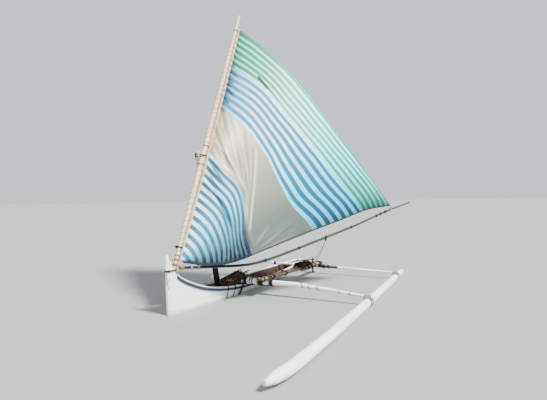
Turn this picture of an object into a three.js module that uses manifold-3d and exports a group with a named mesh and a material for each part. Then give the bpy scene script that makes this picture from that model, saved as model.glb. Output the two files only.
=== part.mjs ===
import * as THREE from 'three';
import { mergeVertices } from 'three/addons/utils/BufferGeometryUtils.js';
import Module from 'manifold-3d';

const wasm = await Module();
wasm.setup();

// An outrigger sailing canoe afloat: planked hull, one float to port, propped yard, swinging boom and a
// three-panel sail. Millimetres. +X is forward, +Y to port, +Z up, and the origin is on the centreline at
// the waterline amidships. Tables give s, the distance aft of the bow, p to port and z above the water.
const BOW_X = 2375;
const HULL_LENGTH = 4750;
const PLANK = 22;
const SEAT = 0.3;

const CAP_HEIGHT = 18;
const CAP_OVERHANG = 12;
const CAP_INSIDE = 6;
const RAIL_DEPTH = 38;
const RAIL_DROP = 10;
const RAIL_STANDS_OUT = 16;
const TRIM_START = 110;
const TRIM_END = 4640;

const YARD_HEEL = { s: 101, p: 0, z: 585 };
const YARD_TOP = { s: 2030, p: 0, z: 5010 };
const MAST_FOOT = { s: 1338, p: -28, z: -170 };
const MAST_TOP = { s: 830, p: -97, z: 2400 };
const MAST_LASHING_SHARE = 0.972;

const FRONT_BEAM_S = 1650;
const REAR_BEAM_S = 3920;

const SAIL_THICKNESS = 12;
const SAIL_BELLY = 380;
const LUFF_CLEARANCE = 15;

const RUDDER_AXIS = { s: 4010, p: 620 };

const COLOURS = {
  whitePaint: [0xf2f3f1, 0.45],
  bluePaint: [0x1f3f66, 0.45],
  innerWood: [0x6d4a36, 0.8],
  paleWood: [0xd8c8a4, 0.7],
  darkWood: [0x2e2824, 0.75],
  bamboo: [0xb09468, 0.6],
  darkRope: [0x26241f, 0.95],
  greyRope: [0x9a988f, 0.95],
  tanRope: [0xc9a878, 0.95],
  sailcloth: [0xdfe6e4, 0.85],
};

const at = ({ s, p, z }) => new THREE.Vector3(BOW_X - s, p, z);

// Smooth reading of one column of a table whose first column is named by key.
function smooth(table, key, column, value) {
  const last = table.length - 1;
  if (value <= table[0][key]) return table[0][column];
  if (value >= table[last][key]) return table[last][column];
  const i = table.findIndex((row) => row[key] > value) - 1;
  const step = (j) => {
    const a = table[Math.max(j - 1, 0)];
    const b = table[Math.min(j + 1, last)];
    return (b[column] - a[column]) / (b[key] - a[key]);
  };
  const width = table[i + 1][key] - table[i][key];
  const t = (value - table[i][key]) / width;
  const [a, b] = [table[i][column], table[i + 1][column]];
  const [ga, gb] = [step(i) * width, step(i + 1) * width];
  return a + ga * t + (3 * (b - a) - 2 * ga - gb) * t * t + (2 * (a - b) + ga + gb) * t * t * t;
}

// Closed mesh through rings of equal length, with flat fans over its two ends.
function loft(rings) {
  const count = rings[0].length;
  const points = rings.flat();
  const faces = [];
  for (let i = 0; i < rings.length - 1; i += 1) {
    for (let j = 0; j < count; j += 1) {
      const [a, b] = [i * count + j, i * count + (j + 1) % count];
      faces.push([a, b, b + count], [a, b + count, a + count]);
    }
  }
  [[0, 1], [rings.length - 1, -1]].forEach(([ring, side]) => {
    const centre = points.push(rings[ring].reduce((sum, p) => sum.clone().add(p)).divideScalar(count)) - 1;
    for (let j = 0; j < count; j += 1) {
      const [a, b] = [ring * count + j, ring * count + (j + 1) % count];
      faces.push(side > 0 ? [b, a, centre] : [a, b, centre]);
    }
  });
  return outward(points, faces);
}

// Indexed geometry whose faces point out of the volume that they enclose.
function outward(points, faces) {
  const cross = new THREE.Vector3();
  const volume = faces.reduce(
    (sum, [a, b, c]) => sum + points[a].dot(cross.crossVectors(points[b], points[c])), 0);
  const ordered = volume > 0 ? faces : faces.map(([a, b, c]) => [a, c, b]);
  const geometry = new THREE.BufferGeometry();
  geometry.setAttribute('position', new THREE.Float32BufferAttribute(points.flatMap((p) => p.toArray()), 3));
  geometry.setIndex(ordered.flat());
  return geometry;
}

// Solid for joining and cutting, from a geometry.
function solid(geometry) {
  const bare = geometry.clone();
  ['normal', 'uv'].forEach((name) => bare.deleteAttribute(name));
  const merged = mergeVertices(bare, 1e-3);
  return new wasm.Manifold(new wasm.Mesh({
    numProp: 3,
    vertProperties: new Float32Array(merged.attributes.position.array),
    triVerts: new Uint32Array(merged.index.array),
  }));
}

function geometryOf(manifold) {
  const mesh = manifold.getMesh();
  const geometry = new THREE.BufferGeometry();
  geometry.setAttribute('position', new THREE.Float32BufferAttribute(mesh.vertProperties, 3));
  geometry.setIndex([...mesh.triVerts]);
  return geometry;
}

function box(from, to) {
  const size = to.clone().sub(from);
  const geometry = new THREE.BoxGeometry(Math.abs(size.x), Math.abs(size.y), Math.abs(size.z));
  geometry.translate(...from.clone().add(to).multiplyScalar(0.5).toArray());
  return geometry;
}

// Round pole through points, its radius read from a table of share along it and radius.
function pole(points, radii, { sides = 14, steps = 24, grow = 0 } = {}) {
  const curve = new THREE.CatmullRomCurve3(points, false, 'centripetal');
  const frames = curve.computeFrenetFrames(steps, false);
  const rings = [];
  for (let i = 0; i <= steps; i += 1) {
    const share = i / steps;
    const centre = curve.getPointAt(share);
    const radius = smooth(radii, 'share', 'radius', share) + grow;
    if (i === 0) centre.addScaledVector(frames.tangents[i], -grow);
    if (i === steps) centre.addScaledVector(frames.tangents[i], grow);
    rings.push(Array.from({ length: sides }, (_, j) => {
      const angle = (2 * Math.PI * j) / sides;
      return centre.clone()
        .addScaledVector(frames.normals[i], radius * Math.cos(angle))
        .addScaledVector(frames.binormals[i], radius * Math.sin(angle));
    }));
  }
  return loft(rings);
}

// Straight sleeve along a pole, used for the turns of rope round it.
function sleeve(centre, direction, radius, length, sides = 16) {
  const geometry = new THREE.CylinderGeometry(radius, radius, length, sides);
  geometry.applyQuaternion(new THREE.Quaternion().setFromUnitVectors(
    new THREE.Vector3(0, 1, 0), direction.clone().normalize()));
  geometry.translate(...centre.toArray());
  return solid(geometry);
}

const group = new THREE.Group();

function add(name, geometry, finish) {
  const [color, roughness] = COLOURS[finish];
  const mesh = new THREE.Mesh(geometry, new THREE.MeshStandardMaterial({ color, roughness, metalness: 0 }));
  mesh.name = name;
  group.add(mesh);
  return mesh;
}

// Hull lines. half is the half-beam at the sheer, turn the share of it at the turn of the bilge.
const LINES = [
  { s: 0, half: 20, turn: 0.9, sheer: 800, keel: -90, bilge: 20 },
  { s: 40, half: 34, turn: 0.86, sheer: 690, keel: -125, bilge: 10 },
  { s: 110, half: 58, turn: 0.8, sheer: 555, keel: -165, bilge: 0 },
  { s: 220, half: 88, turn: 0.76, sheer: 470, keel: -205, bilge: -15 },
  { s: 350, half: 120, turn: 0.74, sheer: 400, keel: -232, bilge: -30 },
  { s: 500, half: 150, turn: 0.74, sheer: 335, keel: -250, bilge: -45 },
  { s: 700, half: 180, turn: 0.76, sheer: 270, keel: -264, bilge: -60 },
  { s: 1150, half: 222, turn: 0.8, sheer: 185, keel: -280, bilge: -80 },
  { s: 1650, half: 252, turn: 0.84, sheer: 140, keel: -288, bilge: -92 },
  { s: 2500, half: 262, turn: 0.86, sheer: 120, keel: -290, bilge: -98 },
  { s: 3500, half: 240, turn: 0.82, sheer: 120, keel: -272, bilge: -90 },
  { s: 4000, half: 198, turn: 0.78, sheer: 124, keel: -235, bilge: -70 },
  { s: 4400, half: 132, turn: 0.76, sheer: 137, keel: -170, bilge: -45 },
  { s: 4620, half: 72, turn: 0.8, sheer: 148, keel: -105, bilge: -20 },
  { s: 4750, half: 22, turn: 0.9, sheer: 156, keel: -50, bilge: 0 },
];
const STATIONS = [0, 40, 70, 110, 160, 220, 290, 350, 450, 560, 700, 850, 1000, 1200, 1400, 1650, 1900, 2200,
  2500, 2800, 3100, 3400, 3650, 3900, 4100, 4260, 4400, 4520, 4640, 4700, 4750];
const BILGE_STEPS = 6;
const lineAt = (column, s) => smooth(LINES, 's', column, s);
const sheerAt = (s) => lineAt('sheer', s);

// Half-beam of the straight topside at height z.
function sideAt(s, z) {
  const [half, bilge] = [lineAt('half', s), lineAt('bilge', s)];
  const low = half * lineAt('turn', s);
  return low + ((half - low) * (z - bilge)) / (sheerAt(s) - bilge);
}

// Hull-shaped solid between two stations, shrunk by inset, with its flat lid at top(s).
function hullForm({ from = 0, to = HULL_LENGTH, inset = 0, top = sheerAt }) {
  const rings = STATIONS.filter((s) => s >= from && s <= to).map((s) => {
    const [bilge, keel] = [lineAt('bilge', s), lineAt('keel', s)];
    const low = lineAt('half', s) * lineAt('turn', s) - inset;
    const half = [[sideAt(s, top(s)) - inset, top(s)]];
    for (let i = 0; i <= BILGE_STEPS; i += 1) {
      const angle = (Math.PI / 2) * (i / BILGE_STEPS);
      half.push([low * Math.cos(angle) ** 0.8, bilge - (bilge - keel - inset) * Math.sin(angle) ** 0.9]);
    }
    half[half.length - 1][0] = 0;
    const mirrored = half.slice(0, -1).reverse().map(([y, z]) => [-y, z]);
    return [...half, ...mirrored].map(([y, z]) => new THREE.Vector3(BOW_X - s, y, z));
  });
  return solid(loft(rings));
}

const above = (height) => (s) => sheerAt(s) + height;
const OUTSIDE_BEAM = 400;
const KEEL_DEPTH = -500;
const slab = (from, to, low, high) => solid(box(
  new THREE.Vector3(BOW_X - from, -OUTSIDE_BEAM, low), new THREE.Vector3(BOW_X - to, OUTSIDE_BEAM, high)));
const CAVITY = { from: 70, to: 4700 };
const cavity = (inset, top = above(120)) => hullForm({ ...CAVITY, inset, top });
const grownHull = hullForm({ inset: -SEAT, top: above(SEAT) }).subtract(cavity(PLANK + SEAT));
const hullShell = hullForm({}).subtract(cavity(PLANK));

// Plank or deck laid across inside the hull, its upper face drop below the sheer.
function insideBoard(from, to, drop, thickness) {
  const stations = [from, ...STATIONS.filter((s) => s > from && s < to), to];
  const rings = stations.map((s) => {
    const [low, high] = [sheerAt(s) - drop - thickness, sheerAt(s) - drop];
    return [[-OUTSIDE_BEAM, low], [OUTSIDE_BEAM, low], [OUTSIDE_BEAM, high], [-OUTSIDE_BEAM, high]]
      .map(([y, z]) => new THREE.Vector3(BOW_X - s, y, z));
  });
  return cavity(PLANK + SEAT).intersect(solid(loft(rings)));
}

// Strip that follows the sheer on one side; corners(s) gives its section as [y, z] pairs.
function sheerStrip(side, corners, from = TRIM_START, to = TRIM_END) {
  const rings = STATIONS.filter((s) => s >= from && s <= to)
    .map((s) => corners(s).map(([y, z]) => new THREE.Vector3(BOW_X - s, side * y, z)));
  return solid(loft(rings));
}

const capCorners = (s) => {
  const [inner, outer] = [lineAt('half', s) - PLANK - CAP_INSIDE, lineAt('half', s) + CAP_OVERHANG];
  const [low, high] = [sheerAt(s) + SEAT, sheerAt(s) + CAP_HEIGHT];
  return [[inner, low], [outer, low], [outer, high], [inner, high]];
};
const railCorners = (s) => {
  const [low, high] = [sheerAt(s) - RAIL_DROP - RAIL_DEPTH, sheerAt(s) - RAIL_DROP];
  return [[sideAt(s, low) - 4, low], [sideAt(s, low) + RAIL_STANDS_OUT, low],
    [sideAt(s, high) + RAIL_STANDS_OUT, high], [sideAt(s, high) - 4, high]];
};

add('hull_shell', geometryOf(hullShell), 'whitePaint');
[['port', 1], ['starboard', -1]].forEach(([name, side]) => {
  add(`gunwale_cap_${name}`, geometryOf(sheerStrip(side, capCorners)), 'whitePaint');
  add(`rub_rail_${name}`, geometryOf(sheerStrip(side, railCorners).subtract(grownHull)), 'bluePaint');
});

// Upright post planks in the centre plane, drawn as [s, z] outlines and given a thickness.
function centrePost(outline, thickness) {
  const shape = new THREE.Shape(outline.map(([s, z]) => new THREE.Vector2(BOW_X - s, z)));
  const geometry = new THREE.ExtrudeGeometry(shape, { depth: thickness, bevelEnabled: false });
  geometry.rotateX(Math.PI / 2);
  geometry.translate(0, thickness / 2, 0);
  return geometry;
}
const STEM_OUTLINE = [[-SEAT, 812], [-14, 836], [-26, 862], [-38, 836], [-62, 842], [-46, 500], [-27, 60],
  [-20, -60], [-SEAT, -92]];
const STERN_OUTLINE = [[SEAT, 158], [20, 178], [48, 174], [58, 90], [40, 0], [SEAT, -50]]
  .map(([s, z]) => [HULL_LENGTH + s, z]);
const POST_THICKNESS = 34;
add('stem_post', centrePost(STEM_OUTLINE, POST_THICKNESS), 'whitePaint');
add('stern_post', centrePost(STERN_OUTLINE, POST_THICKNESS), 'whitePaint');

const DECK = { drop: 34, thickness: 16 };
add('foredeck', geometryOf(insideBoard(72, 450, DECK.drop, DECK.thickness)), 'whitePaint');
add('aft_deck', geometryOf(insideBoard(4420, 4698, DECK.drop, DECK.thickness)), 'whitePaint');

// Mast and yard, round poles: share along the pole and radius.
const YARD_RADII = [{ share: 0, radius: 22 }, { share: 0.1, radius: 34 }, { share: 0.25, radius: 46 },
  { share: 0.6, radius: 44 }, { share: 0.85, radius: 34 }, { share: 1, radius: 25 }];
const MAST_RADII = [{ share: 0, radius: 50 }, { share: 0.6, radius: 48 }, { share: 1, radius: 43 }];
const yardPole = (grow) => pole([at(YARD_HEEL), at(YARD_TOP)], YARD_RADII, { sides: 16, steps: 12, grow });
const mastPole = (grow) => pole([at(MAST_FOOT), at(MAST_TOP)], MAST_RADII, { sides: 16, steps: 8, grow });
const grownYard = solid(yardPole(SEAT));
const grownMast = solid(mastPole(SEAT));
add('yard', yardPole(0), 'paleWood');
add('mast', mastPole(0), 'darkWood');

// Flat thwarts across the hull: first and last s, height of the top face, thickness.
const THWARTS = [
  { name: 'mast_thwart', from: 1130, to: 1400, top: 152, thickness: 34 },
  { name: 'middle_thwart', from: 2420, to: 2600, top: 98, thickness: 22 },
  { name: 'aft_thwart', from: 4120, to: 4270, top: 103, thickness: 22 },
];
THWARTS.forEach(({ name, from, to, top, thickness }) => {
  const board = cavity(PLANK + SEAT).intersect(slab(from, to, top - thickness, top));
  add(name, geometryOf(name === 'mast_thwart' ? board.subtract(grownMast) : board), 'innerWood');
});

const RIB_STATIONS = [780, 1520, 2080, 2760, 3300, 3780];
const RIB_WIDTH = 30;
const RIB_DEPTH = 24;
const RIB_DROP = 62;
const ribRing = cavity(PLANK + SEAT).subtract(cavity(PLANK + SEAT + RIB_DEPTH));
RIB_STATIONS.forEach((s, index) => {
  const [from, to] = [s - RIB_WIDTH / 2, s + RIB_WIDTH / 2];
  const rib = ribRing.intersect(slab(from, to, KEEL_DEPTH, sheerAt(s) - RIB_DROP));
  add(`rib_${index + 1}`, geometryOf(rib), 'innerWood');
});
const BOTTOM_BOARDS = { from: 1660, to: 3700, low: -208, high: -192 };
const slabOf = ({ from, to, low, high }) => slab(from, to, low, high);
add('bottom_boards',
  geometryOf(cavity(PLANK + 2 * SEAT + RIB_DEPTH).intersect(slabOf(BOTTOM_BOARDS))), 'innerWood');

const MAST_STEP = { from: 1250, to: 1430, low: -300, high: -150 };
add('mast_step',
  geometryOf(cavity(PLANK + SEAT).intersect(slabOf(MAST_STEP)).subtract(grownMast)), 'innerWood');

// Crossbeams over the gunwales and out to the float: p, z and radius along each.
const FRONT_BEAM = [
  { p: -420, z: 219, radius: 50 },
  { p: 0, z: 221, radius: 54 },
  { p: 420, z: 220, radius: 52 },
  { p: 860, z: 218, radius: 43 },
  { p: 1230, z: 222, radius: 38 },
  { p: 1580, z: 203, radius: 32 },
  { p: 1910, z: 176, radius: 27 },
  { p: 2400, z: 133, radius: 21 },
  { p: 2520, z: 124, radius: 20 },
];
const REAR_BEAM = [
  { p: -400, z: 170, radius: 25 },
  { p: 0, z: 168, radius: 26 },
  { p: 600, z: 164, radius: 25 },
  { p: 1300, z: 152, radius: 24 },
  { p: 2000, z: 132, radius: 23 },
  { p: 2400, z: 124, radius: 22 },
  { p: 2500, z: 122, radius: 21 },
];
function beamPole(s, table, grow = 0, sides = 14) {
  const rings = table.map(({ p, z, radius }) => Array.from({ length: sides }, (_, j) => {
    const angle = (2 * Math.PI * j) / sides;
    const end = p === table[0].p ? -grow : p === table[table.length - 1].p ? grow : 0;
    return new THREE.Vector3(BOW_X - s + (radius + grow) * Math.cos(angle), p + end,
      z + (radius + grow) * Math.sin(angle));
  }));
  return loft(rings);
}
add('crossbeam_front', beamPole(FRONT_BEAM_S, FRONT_BEAM), 'whitePaint');
add('crossbeam_rear', beamPole(REAR_BEAM_S, REAR_BEAM), 'whitePaint');
const beamTop = (table, p) => smooth(table, 'p', 'z', p) + smooth(table, 'p', 'radius', p);
const BEAMS = [
  { name: 'front', s: FRONT_BEAM_S, table: FRONT_BEAM },
  { name: 'rear', s: REAR_BEAM_S, table: REAR_BEAM },
];

// Float: a long pole with rounded tips, slightly bowed up at its forward end.
const FLOAT_LINE = [
  { s: -1500, p: 2310, z: 86 },
  { s: -1180, p: 2364, z: 80 },
  { s: -600, p: 2386, z: 70 },
  { s: 350, p: 2400, z: 57 },
  { s: 1650, p: 2410, z: 46 },
  { s: 3920, p: 2418, z: 36 },
  { s: 4740, p: 2420, z: 40 },
];
const FLOAT_RADIUS = 65;
const FLOAT_RADII = [{ share: 0, radius: 24 }, { share: 0.012, radius: 46 }, { share: 0.04, radius: 60 },
  { share: 0.3, radius: FLOAT_RADIUS - 1 }, { share: 0.7, radius: FLOAT_RADIUS }, { share: 0.95, radius: 60 },
  { share: 0.985, radius: 46 }, { share: 1, radius: 26 }];
const floatPole = (grow) => pole(FLOAT_LINE.map(at), FLOAT_RADII, { sides: 18, steps: 44, grow });
const grownFloat = solid(floatPole(SEAT));
add('float', floatPole(0), 'whitePaint');

const FLOAT_LASHING = { thickness: 8, alongFloat: 120, alongBeam: 96 };
BEAMS.forEach(({ name, s, table }) => {
  const p = smooth(FLOAT_LINE, 's', 'p', s);
  const beamRadius = smooth(table, 'p', 'radius', p);
  const round = sleeve(at({ s, p, z: smooth(FLOAT_LINE, 's', 'z', s) }), new THREE.Vector3(1, 0, 0),
    FLOAT_RADIUS + FLOAT_LASHING.thickness, FLOAT_LASHING.alongFloat, 20);
  const over = sleeve(at({ s, p, z: smooth(table, 'p', 'z', p) }), new THREE.Vector3(0, 1, 0),
    beamRadius + FLOAT_LASHING.thickness, FLOAT_LASHING.alongBeam);
  const lashing = round.add(over).subtract(grownFloat).subtract(solid(beamPole(s, table, SEAT)));
  add(`float_lashing_${name}`, geometryOf(lashing), 'greyRope');
});

// Rope turns round each crossbeam just outboard of the gunwales.
const BEAM_LASHING = { thickness: 9, width: 60, outboard: 50 };
BEAMS.forEach(({ name, s, table }) => {
  [['port', 1], ['starboard', -1]].forEach(([sideName, side]) => {
    const p = side * (lineAt('half', s) + BEAM_LASHING.outboard);
    const radius = smooth(table, 'p', 'radius', p) + BEAM_LASHING.thickness;
    const turns = sleeve(at({ s, p, z: smooth(table, 'p', 'z', p) }), new THREE.Vector3(0, 1, 0),
      radius, BEAM_LASHING.width);
    add(`beam_lashing_${name}_${sideName}`,
      geometryOf(turns.subtract(solid(beamPole(s, table, SEAT)))), 'darkRope');
  });
});

// Two bamboo poles that lie side by side on both crossbeams.
const SIDE_POLE_RADIUS = 30;
const SIDE_POLES = [{ name: 'inner', front: 668, rear: 728 }, { name: 'outer', front: 732, rear: 792 }];
const SIDE_POLE_OVERHANG = { front: 230, rear: 170 };
function sidePole({ front, rear }, grow = 0) {
  const rest = SIDE_POLE_RADIUS + 2;
  const a = at({ s: FRONT_BEAM_S, p: front, z: beamTop(FRONT_BEAM, front) + rest });
  const b = at({ s: REAR_BEAM_S, p: rear, z: beamTop(REAR_BEAM, rear) + rest });
  const along = b.clone().sub(a).normalize();
  const ends = [a.addScaledVector(along, -SIDE_POLE_OVERHANG.front),
    b.addScaledVector(along, SIDE_POLE_OVERHANG.rear)];
  return pole(ends, [{ share: 0, radius: SIDE_POLE_RADIUS }, { share: 1, radius: SIDE_POLE_RADIUS - 3 }],
    { sides: 12, steps: 6, grow });
}
SIDE_POLES.forEach((row) => add(`side_pole_${row.name}`, sidePole(row), 'bamboo'));
const POLE_LASHING = { over: [70, 150, 2 * SIDE_POLE_RADIUS + 18], under: 130, thickness: 9 };
const grownPoles = SIDE_POLES.map((row) => solid(sidePole(row, SEAT))).reduce((sum, one) => sum.add(one));
BEAMS.forEach(({ name, s, table }) => {
  const middle = (SIDE_POLES[0][name] + SIDE_POLES[1][name]) / 2;
  const beamRadius = smooth(table, 'p', 'radius', middle);
  const over = new THREE.BoxGeometry(...POLE_LASHING.over);
  over.translate(...at({ s, p: middle, z: beamTop(table, middle) + SIDE_POLE_RADIUS + 2 }).toArray());
  const under = sleeve(at({ s, p: middle, z: smooth(table, 'p', 'z', middle) }), new THREE.Vector3(0, 1, 0),
    beamRadius + POLE_LASHING.thickness, POLE_LASHING.under);
  const lashing = solid(over).add(under).subtract(grownPoles).subtract(solid(beamPole(s, table, SEAT)));
  add(`pole_lashing_${name}`, geometryOf(lashing), 'darkRope');
});

// Short sticks packed over the port gunwale against the front crossbeam's top.
const STICKS = [
  { p: 110, turn: 4, radius: 17 },
  { p: 142, turn: -3, radius: 18 },
  { p: 175, turn: 2, radius: 16 },
];
const STICK_LENGTH = 420;
const grownFrontBeam = solid(beamPole(FRONT_BEAM_S, FRONT_BEAM, SEAT));
const stickPieces = STICKS.map(({ p, turn, radius }) => {
  const angle = THREE.MathUtils.degToRad(turn);
  return sleeve(at({ s: FRONT_BEAM_S - 40, p, z: beamTop(FRONT_BEAM, p) + radius - 7 }),
    new THREE.Vector3(Math.cos(angle), Math.sin(angle), 0), radius, STICK_LENGTH, 10);
});
const sticks = stickPieces.reduce((sum, one) => sum.add(one));
add('packing_sticks', geometryOf(sticks.subtract(grownFrontBeam)), 'tanRope');

// Lashings that tie two poles where they cross or lie together.
const mastAxis = at(MAST_TOP).sub(at(MAST_FOOT)).normalize();
const yardAxis = at(YARD_TOP).sub(at(YARD_HEEL)).normalize();
const mastTie = at(MAST_FOOT).lerp(at(MAST_TOP), MAST_LASHING_SHARE);
const yardTie = at(YARD_HEEL).addScaledVector(yardAxis, mastTie.clone().sub(at(YARD_HEEL)).dot(yardAxis));
const mastLashing = sleeve(mastTie, mastAxis, 51, 80)
  .add(sleeve(yardTie, yardAxis, 53, 80))
  .subtract(grownMast).subtract(grownYard);
add('mast_lashing', geometryOf(mastLashing), 'darkRope');

const HEEL_LASHING = { z: 625, height: 28, centre: 58, length: 124, width: 62 };
const heelBand = new THREE.CylinderGeometry(1, 1, HEEL_LASHING.height, 28);
heelBand.rotateX(Math.PI / 2);
heelBand.scale(HEEL_LASHING.length, HEEL_LASHING.width, 1);
heelBand.translate(...at({ s: HEEL_LASHING.centre, p: 0, z: HEEL_LASHING.z }).toArray());
const grownStem = solid(centrePost(
  STEM_OUTLINE.map(([s, z]) => [s < -SEAT ? s - SEAT : s + SEAT, z]), POST_THICKNESS + 2 * SEAT));
add('yard_heel_lashing', geometryOf(
  solid(heelBand).subtract(grownHull).subtract(grownStem).subtract(grownYard)), 'darkRope');

// Boom: a curved pole from beside the yard's foot, out to port and up. share, z and radius.
const BOOM_START = { s: 160, p: 62 };
const BOOM_END = { s: 3780, p: 2720 };
const BOOM_LINE = [
  { share: 0, z: 650 },
  { share: 0.12, z: 621 },
  { share: 0.24, z: 606 },
  { share: 0.31, z: 652 },
  { share: 0.384, z: 732 },
  { share: 0.56, z: 949 },
  { share: 0.72, z: 1153 },
  { share: 0.87, z: 1372 },
  { share: 1, z: 1528 },
];
const BOOM_RADII = [{ share: 0, radius: 22 }, { share: 0.6, radius: 21 }, { share: 1, radius: 14 }];
const boomPoints = BOOM_LINE.map(({ share, z }) => at({
  s: THREE.MathUtils.lerp(BOOM_START.s, BOOM_END.s, share),
  p: THREE.MathUtils.lerp(BOOM_START.p, BOOM_END.p, share),
  z,
}));
const boomPole = (grow) => pole(boomPoints, BOOM_RADII, { sides: 12, steps: 30, grow });
add('boom', boomPole(0), 'darkWood');

// Rope grommet that holds the boom's foot to the yard and turns round it.
const JAW = { z: 690, width: 44, running: 0.4, thickness: 16, tie: 15, sides: 16 };
const yardShare = (z) => (z - YARD_HEEL.z) / (YARD_TOP.z - YARD_HEEL.z);
const yardRadius = (z) => smooth(YARD_RADII, 'share', 'radius', yardShare(z));
const onYard = (z) => at(YARD_HEEL).lerp(at(YARD_TOP), yardShare(z));
const jawInside = (yardRadius(JAW.z + JAW.width / 2) + JAW.running) / Math.cos(Math.PI / JAW.sides);
const jawCentre = onYard(JAW.z);
const boomFoot = boomPoints[0].clone().lerp(boomPoints[1], 0.08);
const boomDirection = boomPoints[1].clone().sub(boomPoints[0]).normalize();
const sideways = boomFoot.clone().sub(onYard(boomFoot.z)).normalize();
const jawSide = jawCentre.clone().addScaledVector(sideways, jawInside + JAW.thickness / 2);
const jawRing = sleeve(jawCentre, yardAxis, jawInside + JAW.thickness, JAW.width, JAW.sides);
const jawTie = solid(pole([boomFoot, jawSide], [{ share: 0, radius: JAW.tie }, { share: 1, radius: JAW.tie }],
  { sides: 12, steps: 1 }));
const boomBand = sleeve(boomFoot, boomDirection, BOOM_RADII[0].radius + 10, 60);
const jaw = boomBand.add(jawTie).add(jawRing)
  .subtract(sleeve(jawCentre, yardAxis, jawInside, 4 * JAW.width, JAW.sides))
  .subtract(solid(boomPole(SEAT)));
add('boom_jaw', geometryOf(jaw), 'tanRope');

// Sail: a bellied triangle. along runs from the foot edge (0) to the leech (1) up the luff, across from
// the luff (0) to the clew (1).
const TACK_Z = 735;
const HEAD_Z = 4740;
const CLEW = { s: 3400, p: 2440, z: 1476 };
// How far the foot drops below the line from tack to clew, and how far the leech stands out past the one from
// head to clew, each at a share of the way across from the luff.
const FOOT_ROACH = [
  { across: 0, drop: 0 },
  { across: 0.05, drop: 80 },
  { across: 0.12, drop: 190 },
  { across: 0.22, drop: 250 },
  { across: 0.35, drop: 190 },
  { across: 0.5, drop: 115 },
  { across: 0.7, drop: 30 },
  { across: 0.85, drop: -35 },
  { across: 1, drop: 0 },
];
const LEECH_ROACH = [
  { across: 0, rise: 0 },
  { across: 0.1, rise: 105 },
  { across: 0.28, rise: 203 },
  { across: 0.4, rise: 185 },
  { across: 0.55, rise: 115 },
  { across: 0.8, rise: 18 },
  { across: 0.9, rise: -10 },
  { across: 1, rise: 0 },
];
const clew = at(CLEW);
const towardsClew = clew.clone().sub(onYard(TACK_Z));
const outFromYard = towardsClew.clone().addScaledVector(yardAxis, -towardsClew.dot(yardAxis)).normalize();
const sailNormal = new THREE.Vector3().crossVectors(outFromYard, yardAxis).normalize();
if (sailNormal.x < 0) sailNormal.negate();

function sailPoint(along, across) {
  const z = THREE.MathUtils.lerp(TACK_Z, HEAD_Z, along);
  const luff = onYard(z).addScaledVector(outFromYard, yardRadius(z) + LUFF_CLEARANCE + SAIL_THICKNESS / 2);
  const bow = Math.sin(Math.PI * across);
  const foot = Math.max(0, 1 - along * 5) ** 2;
  const leech = Math.max(0, along * 4 - 3) ** 2;
  const depth = SAIL_BELLY * (bow ** 0.9) * (0.35 + 0.65 * Math.sin(Math.PI * along) ** 0.8);
  const roach = smooth(LEECH_ROACH, 'across', 'rise', across) * leech
    - smooth(FOOT_ROACH, 'across', 'drop', across) * foot;
  return luff.lerp(clew, across)
    .addScaledVector(sailNormal, depth)
    .addScaledVector(yardAxis, roach);
}
const SAIL_GRID = { along: 18, across: 16, end: 0.985 };
function sailSolid(grow = 0) {
  const rings = [];
  for (let j = 0; j <= SAIL_GRID.across; j += 1) {
    const across = Math.min(j / SAIL_GRID.across, SAIL_GRID.end + grow / 1000);
    const front = [];
    const back = [];
    for (let i = 0; i <= SAIL_GRID.along; i += 1) {
      const point = sailPoint(i / SAIL_GRID.along, across);
      front.push(point.clone().addScaledVector(sailNormal, SAIL_THICKNESS / 2 + grow));
      back.unshift(point.clone().addScaledVector(sailNormal, -SAIL_THICKNESS / 2 - grow));
    }
    rings.push([...front, ...back]);
  }
  return loft(rings);
}
add('sail', sailSolid(), 'sailcloth');

// Rope tie that holds the clew down to the boom.
const CLEW_TIE = { share: 0.893, radius: 8, tip: 4, band: 25, width: 50 };
const boomCurve = new THREE.CatmullRomCurve3(boomPoints, false, 'centripetal');
const tieFoot = boomCurve.getPointAt(CLEW_TIE.share);
const clewTie = solid(pole([tieFoot, sailPoint(0.5, 1), sailPoint(0.5, 0.975)],
  [{ share: 0, radius: CLEW_TIE.radius }, { share: 1, radius: CLEW_TIE.tip }], { sides: 10, steps: 8 }))
  .add(sleeve(tieFoot, boomCurve.getTangentAt(CLEW_TIE.share), CLEW_TIE.band, CLEW_TIE.width, 12))
  .subtract(solid(boomPole(SEAT))).subtract(solid(sailSolid(SEAT)));
add('clew_tie', geometryOf(clewTie), 'tanRope');

// Quarter rudder lashed behind the rear crossbeam.
const STOCK_RADIUS = 19;
const STOCK_TOP = 330;
const STOCK_FOOT = -120;
const rudderAt = (z) => at({ ...RUDDER_AXIS, z });
const stock = new THREE.CylinderGeometry(STOCK_RADIUS, STOCK_RADIUS, STOCK_TOP - STOCK_FOOT, 16);
stock.rotateX(Math.PI / 2);
stock.translate(...rudderAt((STOCK_TOP + STOCK_FOOT) / 2).toArray());
add('rudder_stock', stock, 'darkWood');
const BLADE_THICKNESS = 20;
const BLADE_OUTLINE = [[-60, STOCK_FOOT - SEAT], [60, STOCK_FOOT - SEAT], [150, -150], [190, -300], [150, -560],
  [20, -600], [-60, -420]];
const bladeShape = new THREE.Shape(BLADE_OUTLINE.map(([s, z]) => new THREE.Vector2(-s, z)));
const blade = new THREE.ExtrudeGeometry(bladeShape, { depth: BLADE_THICKNESS, bevelEnabled: false });
blade.rotateX(Math.PI / 2);
blade.translate(BOW_X - RUDDER_AXIS.s, RUDDER_AXIS.p + BLADE_THICKNESS / 2, 0);
add('rudder_blade', geometryOf(solid(blade)), 'darkWood');
const tiller = pole([rudderAt(292).add(new THREE.Vector3(STOCK_RADIUS + 0.5, 0, 0)),
  rudderAt(310).add(new THREE.Vector3(520, -150, 0))],
[{ share: 0, radius: 14 }, { share: 1, radius: 12 }], { sides: 10, steps: 3 });
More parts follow.
